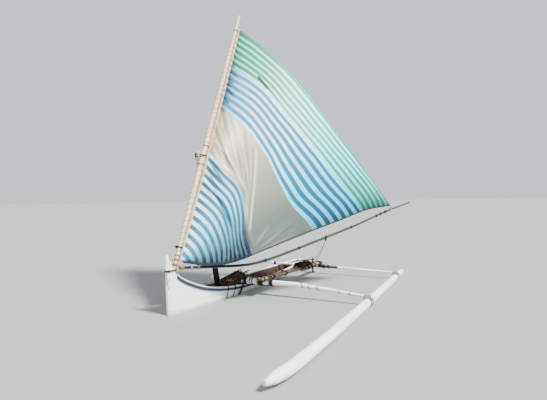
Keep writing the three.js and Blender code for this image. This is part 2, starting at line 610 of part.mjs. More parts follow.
add('tiller', geometryOf(solid(tiller).subtract(solid(stock))), 'darkWood');
const rearZ = smooth(REAR_BEAM, 'p', 'z', RUDDER_AXIS.p);
const rudderBand = new THREE.CylinderGeometry(1, 1, 64, 24);
rudderBand.rotateX(Math.PI / 2);
rudderBand.scale(86, 46, 1);
const bandS = (REAR_BEAM_S + RUDDER_AXIS.s) / 2 + 6;
rudderBand.translate(...at({ s: bandS, p: RUDDER_AXIS.p, z: rearZ }).toArray());
const stockHole = sleeve(rudderAt(rearZ), new THREE.Vector3(0, 0, 1), STOCK_RADIUS + 1, 200);
add('rudder_lashing', geometryOf(
  solid(rudderBand).subtract(stockHole).subtract(solid(beamPole(REAR_BEAM_S, REAR_BEAM, SEAT)))), 'darkRope');

export default group;
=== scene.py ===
"""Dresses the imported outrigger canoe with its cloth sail, rope lashings, bamboo and painted timber."""

import logging
import math
from dataclasses import dataclass, field
from enum import Enum

import bpy
import numpy as np
from mathutils import Matrix, Vector


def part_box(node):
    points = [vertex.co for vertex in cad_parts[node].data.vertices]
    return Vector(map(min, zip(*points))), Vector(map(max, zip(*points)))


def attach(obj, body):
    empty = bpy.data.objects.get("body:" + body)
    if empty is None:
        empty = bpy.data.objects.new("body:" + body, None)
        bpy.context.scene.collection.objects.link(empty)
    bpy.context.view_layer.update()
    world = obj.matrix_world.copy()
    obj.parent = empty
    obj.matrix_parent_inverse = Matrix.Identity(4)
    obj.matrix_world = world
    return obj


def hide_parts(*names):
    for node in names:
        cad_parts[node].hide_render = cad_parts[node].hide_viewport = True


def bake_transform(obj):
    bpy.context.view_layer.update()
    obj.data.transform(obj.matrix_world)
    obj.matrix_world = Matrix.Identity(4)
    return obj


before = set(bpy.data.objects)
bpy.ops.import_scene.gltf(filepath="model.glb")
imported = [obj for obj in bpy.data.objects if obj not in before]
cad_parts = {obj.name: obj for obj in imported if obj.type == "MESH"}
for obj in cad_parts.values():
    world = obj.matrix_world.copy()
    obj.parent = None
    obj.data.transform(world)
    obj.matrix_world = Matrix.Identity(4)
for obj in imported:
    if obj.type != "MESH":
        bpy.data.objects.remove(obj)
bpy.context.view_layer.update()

LOG = logging.getLogger("outrigger_canoe")
BOW_X = 2.375
FULL_TURN = 6.2832
AHEAD, PORT, UP = np.eye(3)
ENDS = ("front", "rear")
Table = tuple[tuple[float, float], ...]
Colour = tuple[float, float, float]
Node = bpy.types.Node
Socket = bpy.types.NodeSocket
Tree = bpy.types.NodeTree
Mixed = tuple[Socket, Socket, Socket | None]


class Body(str, Enum):
    """The three bodies that a piece can ride on."""

    HULL = "hull"
    BOOM = "boom"
    RUDDER = "rudder"


@dataclass(frozen=True)
class Coat:
    """A finished material and the record's slot that it stands for."""

    material: bpy.types.Material
    slot: str


def at(s: float, p: float, z: float) -> np.ndarray:
    """Point of the row frame at s aft of the bow, p to port and z above the water."""
    return np.array((BOW_X - s, p, z))


def unit(vector: np.ndarray) -> np.ndarray:
    """The vector at length one."""
    return np.asarray(vector, float) / np.linalg.norm(vector)


def heading(degrees: float) -> np.ndarray:
    """Level direction at an angle from ahead towards port."""
    return np.array((math.cos(math.radians(degrees)), math.sin(math.radians(degrees)), 0))


def runs(points: np.ndarray) -> np.ndarray:
    """Distance along a line at each of its points."""
    return np.concatenate(([0.0], np.cumsum(np.linalg.norm(np.diff(points, axis=0), axis=1))))


def place(name: str, data: bpy.types.ID) -> bpy.types.Object:
    """Links a new object to the scene.

    Args:
        name: the object's name.
        data: its mesh, light or camera.

    Returns:
        The object.
    """
    obj = bpy.data.objects.new(name, data)
    bpy.context.scene.collection.objects.link(obj)
    return obj


def make_object(name: str, points: np.ndarray, faces: list, layers: dict, coat: Coat) -> bpy.types.Object:
    """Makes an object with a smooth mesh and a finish.

    Args:
        name: the piece's name.
        points: the mesh's points.
        faces: indices of the points of each face.
        layers: by UV layer, one pair for each corner of each face.
        coat: the finish.

    Returns:
        The object.
    """
    mesh = bpy.data.meshes.new(name)
    mesh.from_pydata(points.tolist(), [], faces)
    for key, pairs in layers.items():
        mesh.uv_layers.new(name=key).data.foreach_set("uv", np.asarray(pairs, np.float32).ravel())
    mesh.polygons.foreach_set("use_smooth", [True] * len(mesh.polygons))
    mesh.update()
    mesh.materials.append(coat.material)
    obj = place(name, mesh)
    return obj


def read(table: Table, value: np.ndarray | float) -> np.ndarray:
    """Reads a table smoothly.

    Args:
        table: rows of position and value, in rising order of position.
        value: positions to read at.

    Returns:
        The values there, held level beyond the table's ends.
    """
    xs, ys = np.array(table, float).T
    slopes = np.empty_like(ys)
    slopes[1:-1] = (ys[2:] - ys[:-2]) / (xs[2:] - xs[:-2])
    slopes[0] = (ys[1] - ys[0]) / (xs[1] - xs[0])
    slopes[-1] = (ys[-1] - ys[-2]) / (xs[-1] - xs[-2])
    value = np.clip(np.asarray(value, float), xs[0], xs[-1])
    i = np.clip(np.searchsorted(xs, value, "right") - 1, 0, len(xs) - 2)
    width = xs[i + 1] - xs[i]
    t = (value - xs[i]) / width
    a, b, ga, gb = ys[i], ys[i + 1], slopes[i] * width, slopes[i + 1] * width
    return a + ga * t + (3 * (b - a) - 2 * ga - gb) * t**2 + (2 * (a - b) + ga + gb) * t**3


def spline(points: list, steps: int = 8, closed: bool = False) -> np.ndarray:
    """Smooth line through points.

    Args:
        points: the points that the line passes through.
        steps: how many pieces each span is split into.
        closed: whether the line returns to its start.

    Returns:
        The line's points.
    """
    p = np.array(points, float)
    p = np.vstack((p[-1], p, p[0], p[1])) if closed else np.vstack((2 * p[0] - p[1], p, 2 * p[-1] - p[-2]))
    out = []
    for i in range(1, len(p) - 2):
        for t in np.arange(steps) / steps:
            a, b, c, d = p[i - 1], p[i], p[i + 1], p[i + 2]
            out.append(0.5 * (2 * b + (c - a) * t + (2 * a - 5 * b + 4 * c - d) * t**2
                              + (3 * b - a - 3 * c + d) * t**3))
    if not closed:
        out.append(p[-2])
    return np.array(out)


def resample(points: np.ndarray, step: float, closed: bool = False) -> np.ndarray:
    """Points at even spacing along a line.

    Args:
        points: the line's points.
        step: spacing in metres.
        closed: whether the line returns to its start.

    Returns:
        The evenly spaced points.
    """
    p = np.vstack((points, points[:1])) if closed else np.asarray(points)
    run = runs(p)
    count = max(int(round(run[-1] / step)), 4)
    marks = np.linspace(0, run[-1], count + 1)
    if closed:
        marks = marks[:-1]
    return np.stack([np.interp(marks, run, p[:, k]) for k in range(3)], axis=1)


def moving_frames(points: np.ndarray, closed: bool = False) -> tuple[np.ndarray, np.ndarray, np.ndarray]:
    """Frames that follow a line without spinning about it.

    Args:
        points: the line's points.
        closed: whether the line returns to its start.

    Returns:
        Tangents, normals and binormals, one row a point.
    """
    if closed:
        tangents = np.roll(points, -1, 0) - np.roll(points, 1, 0)
    else:
        tangents = np.gradient(points, axis=0)
    tangents /= np.linalg.norm(tangents, axis=1, keepdims=True) + 1e-12
    start = np.eye(3)[np.argmin(np.abs(tangents[0]))]
    normals = np.empty_like(points)
    normals[0] = unit(start - tangents[0] * start.dot(tangents[0]))
    for i in range(1, len(points)):
        n = normals[i - 1] - tangents[i] * normals[i - 1].dot(tangents[i])
        normals[i] = n / (np.linalg.norm(n) + 1e-12)
    return tangents, normals, np.cross(tangents, normals)


@dataclass(frozen=True)
class Pole:
    """A straight round bar that rope can pass round."""

    point: np.ndarray
    direction: np.ndarray
    radius: float

    def grown(self, extra: float) -> "Pole":
        """The bar with a larger radius."""
        return Pole(self.point, self.direction, self.radius + extra)


@dataclass
class Shell:
    """Mesh data that grows part by part before it becomes one piece."""

    points: list = field(default_factory=list)
    faces: list = field(default_factory=list)
    uvs: list = field(default_factory=list)
    count: int = 0

    def tube(self, line: np.ndarray, radius: np.ndarray | float, sides: int = 12, closed: bool = False,
             section: np.ndarray | None = None, spin: np.ndarray | None = None) -> None:
        """Adds a tube along a line.

        Args:
            line: points of its middle.
            radius: one radius, or one a point.
            sides: corners of its section.
            closed: whether its ends meet.
            section: share of the radius at each corner.
            spin: turn of the section at each point, in radians.
        """
        _, normals, binormals = moving_frames(line, closed)
        count = len(line)
        radius = np.broadcast_to(radius, (count,))
        section = np.ones(sides) if section is None else section
        spin = np.zeros(count) if spin is None else spin
        angles = 2 * np.pi * np.arange(sides) / sides + spin[:, None]
        reach = radius[:, None] * section[None, :]
        ring = (line[:, None, :] + (reach * np.cos(angles))[..., None] * normals[:, None, :]
                + (reach * np.sin(angles))[..., None] * binormals[:, None, :])
        points = ring.reshape(-1, 3)
        run = runs(line)
        faces = []
        for i in range(count if closed else count - 1):
            j = (i + 1) % count
            top = run[j] if j else run[-1] + np.linalg.norm(line[0] - line[-1])
            for k in range(sides):
                m = (k + 1) % sides
                faces.append((i * sides + k, i * sides + m, j * sides + m, j * sides + k))
                self.uvs.extend([(k / sides, run[i]), ((k + 1) / sides, run[i]), ((k + 1) / sides, top),
                                 (k / sides, top)])
        if not closed:
            points = np.vstack((points, line[:1], line[-1:]))
            first, last = count * sides, count * sides + 1
            for k in range(sides):
                m = (k + 1) % sides
                faces.extend([(first, m, k), (last, (count - 1) * sides + k, (count - 1) * sides + m)])
                self.uvs.extend([(0.5, 0.0), (m / sides, 0.0), (k / sides, 0.0), (0.5, run[-1]),
                                 (k / sides, run[-1]), (m / sides, run[-1])])
        self.faces.extend([tuple(i + self.count for i in face) for face in faces])
        self.points.append(points)
        self.count += len(points)

    def rope(self, line: np.ndarray, radius: float, closed: bool = False, pace: float = 1.1) -> None:
        """Adds a three-strand rope.

        Args:
            line: points of its middle.
            radius: half its thickness.
            closed: whether its ends meet.
            pace: spacing of its rings, in radii.
        """
        line = resample(line, radius * pace, closed)
        strand, spread, sides, lay = 0.54, 0.5, 9, 7.0
        away = (np.arange(sides) * 360 / sides + 60) % 120 - 60
        away = np.radians(np.abs(away))
        section = spread * np.cos(away) + np.sqrt(np.maximum(strand**2 - (spread * np.sin(away))**2, 0))
        turns = max(round(len(line) * pace / lay), 1)
        spin = np.linspace(0, 2 * np.pi * turns, len(line), endpoint=not closed)
        self.tube(line, radius, sides, closed, section, spin)

    def wind(self, bars: list[Pole], centre: np.ndarray, normal: np.ndarray, width: float, turns: float,
             clearance: float, radius: float | None = None, start: float = 0.0, pace: float = 1.1) -> None:
        """Adds rope turns drawn tight round a group of bars.

        Args:
            bars: the bars inside the turns.
            centre: middle of the turns.
            normal: direction in which the turns advance.
            width: how far they advance.
            turns: how many there are.
            clearance: distance of the rope's middle from the bars.
            radius: half the rope's thickness, or None where that is the clearance.
            start: angle of the first point, in radians.
            pace: spacing of the rope's rings, in radii.
        """
        n = unit(normal)
        e1 = unit(np.cross(n, (0.31, 0.22, 0.93) if abs(n[2]) < 0.9 else (1.0, 0.1, 0.0)))
        e2 = np.cross(n, e1)
        a_turn = 48
        steps = int(a_turn * turns)
        path = []
        for i in range(steps + 1):
            angle = start + 2 * np.pi * i / a_turn
            towards = math.cos(angle) * e1 + math.sin(angle) * e2
            origin = centre + n * width * (i / steps - 0.5)
            best, reach = None, -1e9
            for bar in bars:
                d = unit(bar.direction)
                middle = bar.point + d * ((origin - bar.point).dot(n) / d.dot(n))
                along = d - n * d.dot(n)
                minor = bar.radius + clearance
                if np.linalg.norm(along) > 1e-6:
                    major, m = minor / abs(d.dot(n)), unit(along)
                else:
                    major, m = minor, e1
                k = np.cross(n, m)
                a, b = major * towards.dot(m), minor * towards.dot(k)
                support = math.hypot(a, b)
                if (middle - origin).dot(towards) + support > reach:
                    reach = (middle - origin).dot(towards) + support
                    best = middle + (major * a * m + minor * b * k) / support
            path.append(best)
        self.rope(np.array(path), radius or clearance, pace=pace)

    def band(self, bar: Pole, width: float, turns: float, clearance: float, radius: float | None = None,
             start: float = 0.0) -> None:
        """Adds rope turns round one bar at its own point, with the values that wind takes."""
        self.wind([bar], bar.point, bar.direction, width, turns, clearance, radius, start)

    def knot(self, centre: np.ndarray, first: np.ndarray, second: np.ndarray, size: float, radius: float) -> None:
        """Adds a tied knot.

        Args:
            centre: its middle.
            first: one direction of its face.
            second: the other direction of its face.
            size: half its width.
            radius: half the rope's thickness.
        """
        t = np.linspace(0, 2 * np.pi, 48, endpoint=False)[:, None]
        first = unit(first)
        second = unit(second - first * np.dot(first, second))
        third = np.cross(first, second)
        line = centre + size * ((np.sin(t) + 2 * np.sin(2 * t)) * first / 3
                                + (np.cos(t) - 2 * np.cos(2 * t)) * second / 3 - 0.45 * np.sin(3 * t) * third)
        self.rope(line, radius, closed=True)

    def make(self, name: str, coat: Coat) -> bpy.types.Object:
        """The mesh as an object with its finish."""
        return make_object(name, np.vstack(self.points), self.faces, {"run": self.uvs}, coat)

    def piece(self, name: str, body: Body, coat: Coat, *replaces: str) -> None:
        """Makes the piece and sets it on its body.

        Args:
            name: the piece's name.
            body: the body that it rides on.
            coat: its finish.
            replaces: nodes that it stands for.
        """
        obj = self.make(name, coat)
        if replaces:
            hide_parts(*replaces)
        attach(obj, body.value)
        LOG.info("%s: %d faces on %s", name, len(self.faces), body.value)


def girth(names: tuple[str, ...], point: np.ndarray, normal: np.ndarray, clearance: float) -> np.ndarray:
    """Closed path of a rope drawn tight round solids in a plane.

    Args:
        names: the solids' nodes.
        point: a point of the plane.
        normal: the plane's normal.
        clearance: distance of the rope's middle from the solids.

    Returns:
        The path's points.
    """
    n = unit(normal)
    e1 = unit(np.cross(n, (0.0, 0.0, 1.0)))
    e2 = np.cross(n, e1)
    cuts = []
    for name in names:
        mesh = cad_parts[name].data
        places = np.empty(len(mesh.vertices) * 3)
        mesh.vertices.foreach_get("co", places)
        places = places.reshape(-1, 3)
        ends = np.empty(len(mesh.edges) * 2, int)
        mesh.edges.foreach_get("vertices", ends)
        a, b = places[ends.reshape(-1, 2)[:, 0]], places[ends.reshape(-1, 2)[:, 1]]
        over_a, over_b = (a - point) @ n, (b - point) @ n
        cross = over_a * over_b < 0
        share = (over_a[cross] / (over_a[cross] - over_b[cross]))[:, None]
        cuts.append(a[cross] + (b[cross] - a[cross]) * share)
    cuts = np.vstack(cuts)
    flat = np.stack(((cuts - point) @ e1, (cuts - point) @ e2), 1)
    angles = np.linspace(0, 2 * np.pi, 120, endpoint=False)
    away = np.stack((np.cos(angles), np.sin(angles)), 1)
    path = flat[np.argmax(flat @ away.T, axis=0)] + away * clearance
    return point + path[:, :1] * e1 + path[:, 1:] * e2


def srgb(red: float, green: float, blue: float) -> tuple[float, float, float, float]:
    """Linear colour with full alpha from a screen colour.

    Args:
        red: the red channel, 0 to 255.
        green: the green channel, 0 to 255.
        blue: the blue channel, 0 to 255.

    Returns:
        The colour.
    """
    def linear(value: float) -> float:
        """Linear value of one channel."""
        value /= 255
        return value / 12.92 if value <= 0.04045 else ((value + 0.055) / 1.055) ** 2.4
    return (linear(red), linear(green), linear(blue), 1.0)


class Graph:
    """Adds nodes to a node tree and joins them in one call each."""

    def __init__(self, tree: Tree) -> None:
        """Keeps the tree."""
        self.tree = tree

    def node(self, kind: str, inputs: dict | None = None, **settings: object) -> Node:
        """Adds a node.

        Args:
            kind: the node's type.
            inputs: values or sockets, by input name or index.
            settings: attributes of the node.

        Returns:
            The node.
        """
        node = self.tree.nodes.new(kind)
        for key, value in settings.items():
            setattr(node, key, value)
        for key, value in (inputs or {}).items():
            if isinstance(value, Socket):
                self.tree.links.new(value, node.inputs[key])
            else:
                node.inputs[key].default_value = value
        return node

    def math(self, operation: str, a: object, b: object = 0.0) -> Socket:
        """Result of a Math node on two values or sockets."""
        return self.node("ShaderNodeMath", {0: a, 1: b}, operation=operation).outputs[0]

    def blend(self, factor: object, a: object, b: object, kind: str = "MIX") -> Socket:
        """Colour between a and b by factor."""
        return self.node("ShaderNodeMix", {0: factor, 6: a, 7: b}, data_type="RGBA", blend_type=kind).outputs[2]

    def add(self, a: object, b: object) -> Socket:
        """Sum of two values or sockets."""
        return self.math("ADD", a, b)

    def sub(self, a: object, b: object) -> Socket:
        """The first less the second."""
        return self.math("SUBTRACT", a, b)

    def mul(self, a: object, b: object) -> Socket:
        """Product of two values or sockets."""
        return self.math("MULTIPLY", a, b)

    def over(self, a: object, b: object) -> Socket:
        """One where the first is greater, and zero elsewhere."""
        return self.math("GREATER_THAN", a, b)

    def under(self, a: object, b: object) -> Socket:
        """One where the first is smaller, and zero elsewhere."""
        return self.math("LESS_THAN", a, b)

    def spread(self, value: object, low: object, high: object, to_low: float = 0.0, to_high: float = 1.0) -> Socket:
        """Smooth step of a value from one range to another."""
        node = self.node("ShaderNodeMapRange", {0: value, 1: low, 2: high, 3: to_low, 4: to_high},
                         interpolation_type="SMOOTHSTEP")
        return node.outputs[0]

    def ramp(self, value: object, stops: list) -> Socket:
        """Colour of a ramp.

        Args:
            value: place along the ramp.
            stops: rows of position and colour.

        Returns:
            The colour.
        """
        node = self.node("ShaderNodeValToRGB", {0: value})
        elements = node.color_ramp.elements
        while len(elements) < len(stops):
            elements.new(0.5)
        for element, (position, colour) in zip(elements, stops):
            element.position, element.color = position, (*colour[:3], 1.0)
        return node.outputs[0]

    def noise(self, vector: object, scale: object, detail: float = 3.0, rough: float = 0.55) -> Socket:
        """Value of a noise at a place."""
        node = self.node("ShaderNodeTexNoise", {"Vector": vector, "Scale": scale, "Detail": detail, "Roughness": rough})
        return node.outputs[0]

    def stretch(self, vector: object, scale: Colour) -> Socket:
        """The vector scaled along its three axes."""
        return self.node("ShaderNodeMapping", {"Vector": vector, "Scale": scale}).outputs[0]

    def split(self, vector: object) -> tuple:
        """The three parts of a vector."""
        return tuple(self.node("ShaderNodeSeparateXYZ", {0: vector}).outputs)


class Effects:
    """Shader node groups that several finishes share."""

    def __init__(self) -> None:
        """Builds each group once."""
        self.grain = self._grain()
        self.wear = self._wear()
        self.weave = self._weave()
        self.grime = self._grime()
        self.strand = self._strand()

    @staticmethod
    def _group(name: str, inputs: dict, outputs: tuple[str, ...]) -> tuple[Tree, Graph, dict, Node]:
        """Starts a group.

        Args:
            name: the group's name.
            inputs: default value by name; None is a vector.
            outputs: names of the values that it puts out.

        Returns:
            The tree, its graph, its inner input sockets by name, and its output node.
        """
        tree = bpy.data.node_groups.new(name, "ShaderNodeTree")
        for key, value in inputs.items():
            kind = "NodeSocketVector" if value is None else "NodeSocketFloat"
            socket = tree.interface.new_socket(key, in_out="INPUT", socket_type=kind)
            if value is not None:
                socket.default_value = value
        for key in outputs:
            tree.interface.new_socket(key, in_out="OUTPUT", socket_type="NodeSocketFloat")
        graph = Graph(tree)
        start, end = graph.node("NodeGroupInput"), graph.node("NodeGroupOutput")
        return tree, graph, {key: start.outputs[key] for key in inputs}, end

    def _grain(self) -> Tree:
        """Long wood grain with fine cracks; the vector's X runs along the grain.

        Returns:
            The group.
        """
        tree, g, i, end = self._group("timber_grain", {"Vector": None, "Scale": 1.0, "Cracks": 0.5}, ("Tone", "Height"))
        sized = g.node("ShaderNodeVectorMath", {0: i["Vector"], "Scale": i["Scale"]}, operation="SCALE").outputs[0]
        long_streak = g.noise(g.stretch(sized, (1.5, 28, 28)), 1.0, 4.0, 0.6)
        fine_streak = g.noise(g.stretch(sized, (6, 160, 160)), 1.0, 3.0, 0.6)
        crack = g.spread(g.noise(g.stretch(sized, (2.2, 60, 60)), 1.0, 2.0, 0.5), 0.62, 0.7)
        crack = g.mul(crack, i["Cracks"])
        tone = g.add(g.mul(long_streak, 0.62), g.mul(fine_streak, 0.38))
        self._out(tree, end, "Tone", g.sub(tone, g.mul(crack, 0.35)))
        self._out(tree, end, "Height", g.sub(tone, crack))
        return tree

    def _wear(self) -> Tree:
        """Patches where a coat is rubbed or peeled.

        Returns:
            The group.
        """
        tree, g, i, end = self._group("worn_patches", {"Vector": None, "Scale": 4.0, "Amount": 0.4, "Edge": 0.06},
                                      ("Mask",))
        broad = g.noise(i["Vector"], i["Scale"], 6.0, 0.65)
        low = g.sub(1.0, i["Amount"])
        self._out(tree, end, "Mask", g.spread(broad, low, g.add(low, i["Edge"])))
        return tree

    def _weave(self) -> Tree:
        """Plain weave of crossing threads; the vector is in metres along the cloth.

        Returns:
            The group.
        """
        tree, g, i, end = self._group("plain_weave", {"Vector": None, "Threads": 900.0}, ("Height", "Tone"))
        x, y, _ = g.split(g.node("ShaderNodeVectorMath", {0: i["Vector"], "Scale": i["Threads"]},
                                 operation="SCALE").outputs[0])
        height = g.mul(g.math("SINE", g.mul(x, FULL_TURN)), g.math("SINE", g.mul(y, FULL_TURN)))
        self._out(tree, end, "Height", g.add(g.mul(height, 0.5), 0.5))
        slub = g.noise(g.stretch(i["Vector"], (4, 220, 1)), 1.0, 3.0, 0.6)
        cross = g.noise(g.stretch(i["Vector"], (220, 4, 1)), 1.0, 3.0, 0.6)
        self._out(tree, end, "Tone", g.mul(g.add(slub, cross), 0.5))
        return tree

    def _grime(self) -> Tree:
        """Stain that is strongest at a level and fades upward with a ragged edge.

        Returns:
            The group.
        """
        tree, g, i, end = self._group("waterline_grime", {"Vector": None, "Level": 0.0, "Reach": 0.06}, ("Mask",))
        z = g.split(i["Vector"])[2]
        ragged = g.mul(g.sub(g.noise(g.stretch(i["Vector"], (9, 9, 3)), 1.0, 5.0, 0.7), 0.5), g.mul(i["Reach"], 1.6))
        above = g.math("DIVIDE", g.sub(g.add(z, ragged), i["Level"]), i["Reach"])
        self._out(tree, end, "Mask", g.spread(above, 0.0, 1.0, 1.0, 0.0))
        return tree

    def _strand(self) -> Tree:
        """Fibres of twisted rope; the vector is share round it and metres along it.

        Returns:
            The group.
        """
        tree, g, i, end = self._group("rope_fibres", {"Vector": None, "Lay": 90.0}, ("Tone", "Height"))
        x, y, _ = g.split(i["Vector"])
        swirl = g.add(g.mul(x, 3.0), g.mul(y, i["Lay"]))
        fibre = g.noise(g.node("ShaderNodeCombineXYZ", {0: swirl, 1: g.mul(y, 40.0)}).outputs[0], 6.0, 4.0, 0.7)
        self._out(tree, end, "Tone", fibre)
        self._out(tree, end, "Height", fibre)
        return tree

    @staticmethod
    def _out(tree: Tree, end: Node, name: str, socket: Socket) -> None:
        """Joins a socket to one of the group's outputs."""
        tree.links.new(socket, end.inputs[name])

    @staticmethod
    def use(graph: Graph, group: Tree, **inputs: object) -> Node:
        """Places a group in a material with its own values.

        Args:
            graph: the material's graph.
            group: the group.
            inputs: values or sockets by the group's input names.

        Returns:
            The group's node.
        """
        return graph.node("ShaderNodeGroup", inputs, node_tree=group)


@dataclass(frozen=True)
class Finish:
    """What every finish has in common: a name, the record's slot, a gloss and a relief."""

    name: str
    slot: str
    roughness: float = 0.6
    specular: float = 0.5
    sheen: float = 0.0
    relief: float = 0.3
    relief_depth: float = 0.001

    def build(self, effects: Effects) -> Coat:
        """Builds the material.

        Args:
            effects: the shared node groups.

        Returns:
            The material and its slot.
        """
        material = bpy.data.materials.new(self.name)
        material.use_nodes = True
        g = Graph(material.node_tree)
        shader = material.node_tree.nodes["Principled BSDF"]
        colour, height, rough = self.mix(g, effects)
        shader.inputs["Specular IOR Level"].default_value = self.specular
        shader.inputs["Sheen Weight"].default_value = self.sheen
        shader.inputs["Roughness"].default_value = self.roughness
        g.tree.links.new(colour, shader.inputs["Base Color"])
        if rough is not None:
            g.tree.links.new(rough, shader.inputs["Roughness"])
        bump = g.node("ShaderNodeBump", {"Strength": self.relief, "Distance": self.relief_depth, "Height": height})
        g.tree.links.new(bump.outputs[0], shader.inputs["Normal"])
        return Coat(material, self.slot)


@dataclass(frozen=True)
class PaintFinish(Finish):
    """Brushed paint on timber, with rubbed patches, a stain at the water and a different inside."""

    slot: str = "white_paint"
    roughness: float = 0.42
    coat: tuple = srgb(246, 246, 244)
    under: tuple = srgb(150, 128, 104)
    grime: tuple = srgb(150, 140, 118)
    inside: tuple | None = None
    worn: float = 0.3
    grime_reach: float = 0.07
    grime_share: float = 0.6
    band: tuple | None = None
    band_tone: tuple = (0.018, 0.026, 0.032, 1.0)
    seams: tuple = ()

    def mix(self, g: Graph, effects: Effects) -> Mixed:
        """Mixes the finish.

        Args:
            g: the material's graph.
            effects: the shared node groups.

        Returns:
            Its colour and relief, and its roughness or None.
        """
        place = g.node("ShaderNodeTexCoord")
        spot, normal = place.outputs["Object"], place.outputs["Normal"]
        grain = effects.use(g, effects.grain, Vector=spot, Scale=1.0, Cracks=0.25)
        brushed = g.blend(0.1, self.coat, g.ramp(g.noise(spot, 3.0, 5.0, 0.6),
                          [(0.3, srgb(196, 190, 176)), (0.7, srgb(250, 250, 248))]), "MULTIPLY")
        worn = effects.use(g, effects.wear, Vector=spot, Scale=9.0, Amount=self.worn, Edge=0.05).outputs[0]
        colour = g.blend(worn, brushed, self.under)
        stain = effects.use(g, effects.grime, Vector=spot, Level=0.0, Reach=self.grime_reach).outputs[0]
        colour = g.blend(g.mul(stain, self.grime_share), colour, self.grime)
        if self.inside:
            inner = g.under(g.mul(g.split(spot)[1], g.split(normal)[1]), 0.0)
            tone = g.ramp(grain.outputs["Tone"], [(0.3, tuple(0.55 * c for c in self.inside[:3]) + (1,)),
                                                  (0.7, self.inside)])
            colour = g.blend(inner, colour, tone)
        if self.band:
            axis, low, high = self.band
            ragged = g.add(g.split(spot)[axis], g.mul(g.noise(spot, 22.0), 0.05))
            span = g.mul(g.spread(ragged, low, low + 0.02), g.spread(ragged, high, high + 0.02, 1.0, 0.0))
            colour = g.blend(span, colour, self.band_tone)
        height = g.add(g.mul(grain.outputs["Height"], 0.5), g.mul(worn, -0.6))
        x, _, z = g.split(spot)
        for level in self.seams:
            sheer = g.sub(z, g.mul(g.mul(x, x), 0.022))
            seam = g.spread(g.math("ABSOLUTE", g.sub(sheer, level)), 0.0012, 0.0032, 1.0, 0.0)
            colour = g.blend(g.mul(seam, 0.45), colour, (0.16, 0.15, 0.13, 1))
            height = g.sub(height, g.mul(seam, 2.0))
        rough = g.add(g.mul(worn, 0.25), self.roughness)
        return colour, height, rough


@dataclass(frozen=True)
class TimberFinish(Finish):
    """Pole or board, bare or stained, with grain along one direction, a graded tone and painted shade on one side."""

    specular: float = 0.2
    light: tuple = srgb(214, 198, 168)
    dark: tuple = srgb(160, 138, 104)
    along: Colour = (1.0, 0.0, 0.0)
    cracks: float = 0.5
    blotch: float = 0.3
    fade: tuple | None = None
    graded_tone: tuple = srgb(226, 222, 212)
    side: Colour | None = None
    shaded_side_tone: tuple = (0.5, 0.36, 0.2, 1.0)

    def mix(self, g: Graph, effects: Effects) -> Mixed:
        """Mixes the finish.

        Args:
            g: the material's graph.
            effects: the shared node groups.

        Returns:
            Its colour and relief, and its roughness or None.
        """
        spot = g.node("ShaderNodeTexCoord").outputs["Object"]
        d = Vector(self.along).normalized()
        side = d.cross(Vector((0, 0, 1)) if abs(d.z) < 0.9 else Vector((1, 0, 0))).normalized()
        up = d.cross(side)
        parts = [g.node("ShaderNodeVectorMath", {0: spot, 1: tuple(axis)}, operation="DOT_PRODUCT").outputs["Value"]
                 for axis in (d, side, up)]
        turned = g.node("ShaderNodeCombineXYZ", {0: parts[0], 1: parts[1], 2: parts[2]}).outputs[0]
        grain = effects.use(g, effects.grain, Vector=turned, Scale=1.6, Cracks=self.cracks)
        colour = g.ramp(grain.outputs["Tone"], [(0.32, self.dark), (0.62, self.light)])
        patch = g.spread(g.noise(g.stretch(turned, (2.5, 9, 9)), 1.0, 4.0, 0.6), 0.45, 0.75)
        colour = g.blend(g.mul(patch, self.blotch), colour, self.dark)
        # Blends towards another tone along one axis; on the boom this is painted shadow of the sail.
        if self.fade:
            axis, low, high = self.fade
            share = g.spread(g.split(spot)[axis], low, high)
            colour = g.blend(share, colour, g.blend(0.3, self.graded_tone, colour, "MULTIPLY"))
        # Painted shade on the faces turned towards side.
        if self.side:
            normal = g.node("ShaderNodeTexCoord").outputs["Normal"]
            turn = g.node("ShaderNodeVectorMath", {0: normal, 1: self.side}, operation="DOT_PRODUCT").outputs["Value"]
            turn = g.add(turn, g.mul(g.noise(turned, 18.0), 0.3))
            colour = g.blend(g.spread(turn, 0.25, 0.75), colour, g.blend(0.5, self.shaded_side_tone, colour, "MULTIPLY"))
        rough = g.add(g.mul(grain.outputs["Tone"], 0.2), self.roughness - 0.1)
        return colour, grain.outputs["Height"], rough


@dataclass(frozen=True)
class RopeFinish(Finish):
    """Twisted rope with fibres."""

    slot: str = "tan_rope"
    roughness: float = 0.85
    specular: float = 0.2
    light: tuple = srgb(80, 78, 72)
    dark: tuple = srgb(28, 27, 25)

    def mix(self, g: Graph, effects: Effects) -> Mixed:
        """Mixes the finish.

        Args:
            g: the material's graph.
            effects: the shared node groups.

        Returns:
            Its colour and relief, and its roughness or None.
        """
        run = g.node("ShaderNodeUVMap", uv_map="run").outputs[0]
        fibre = effects.use(g, effects.strand, Vector=run, Lay=90.0)
        spot = g.node("ShaderNodeTexCoord").outputs["Object"]
        faded = g.blend(g.spread(g.noise(spot, 14.0, 3.0), 0.4, 0.7), self.dark, self.light)
        colour = g.blend(fibre.outputs["Tone"], g.blend(0.6, faded, self.dark), faded)
        return colour, fibre.outputs["Height"], None


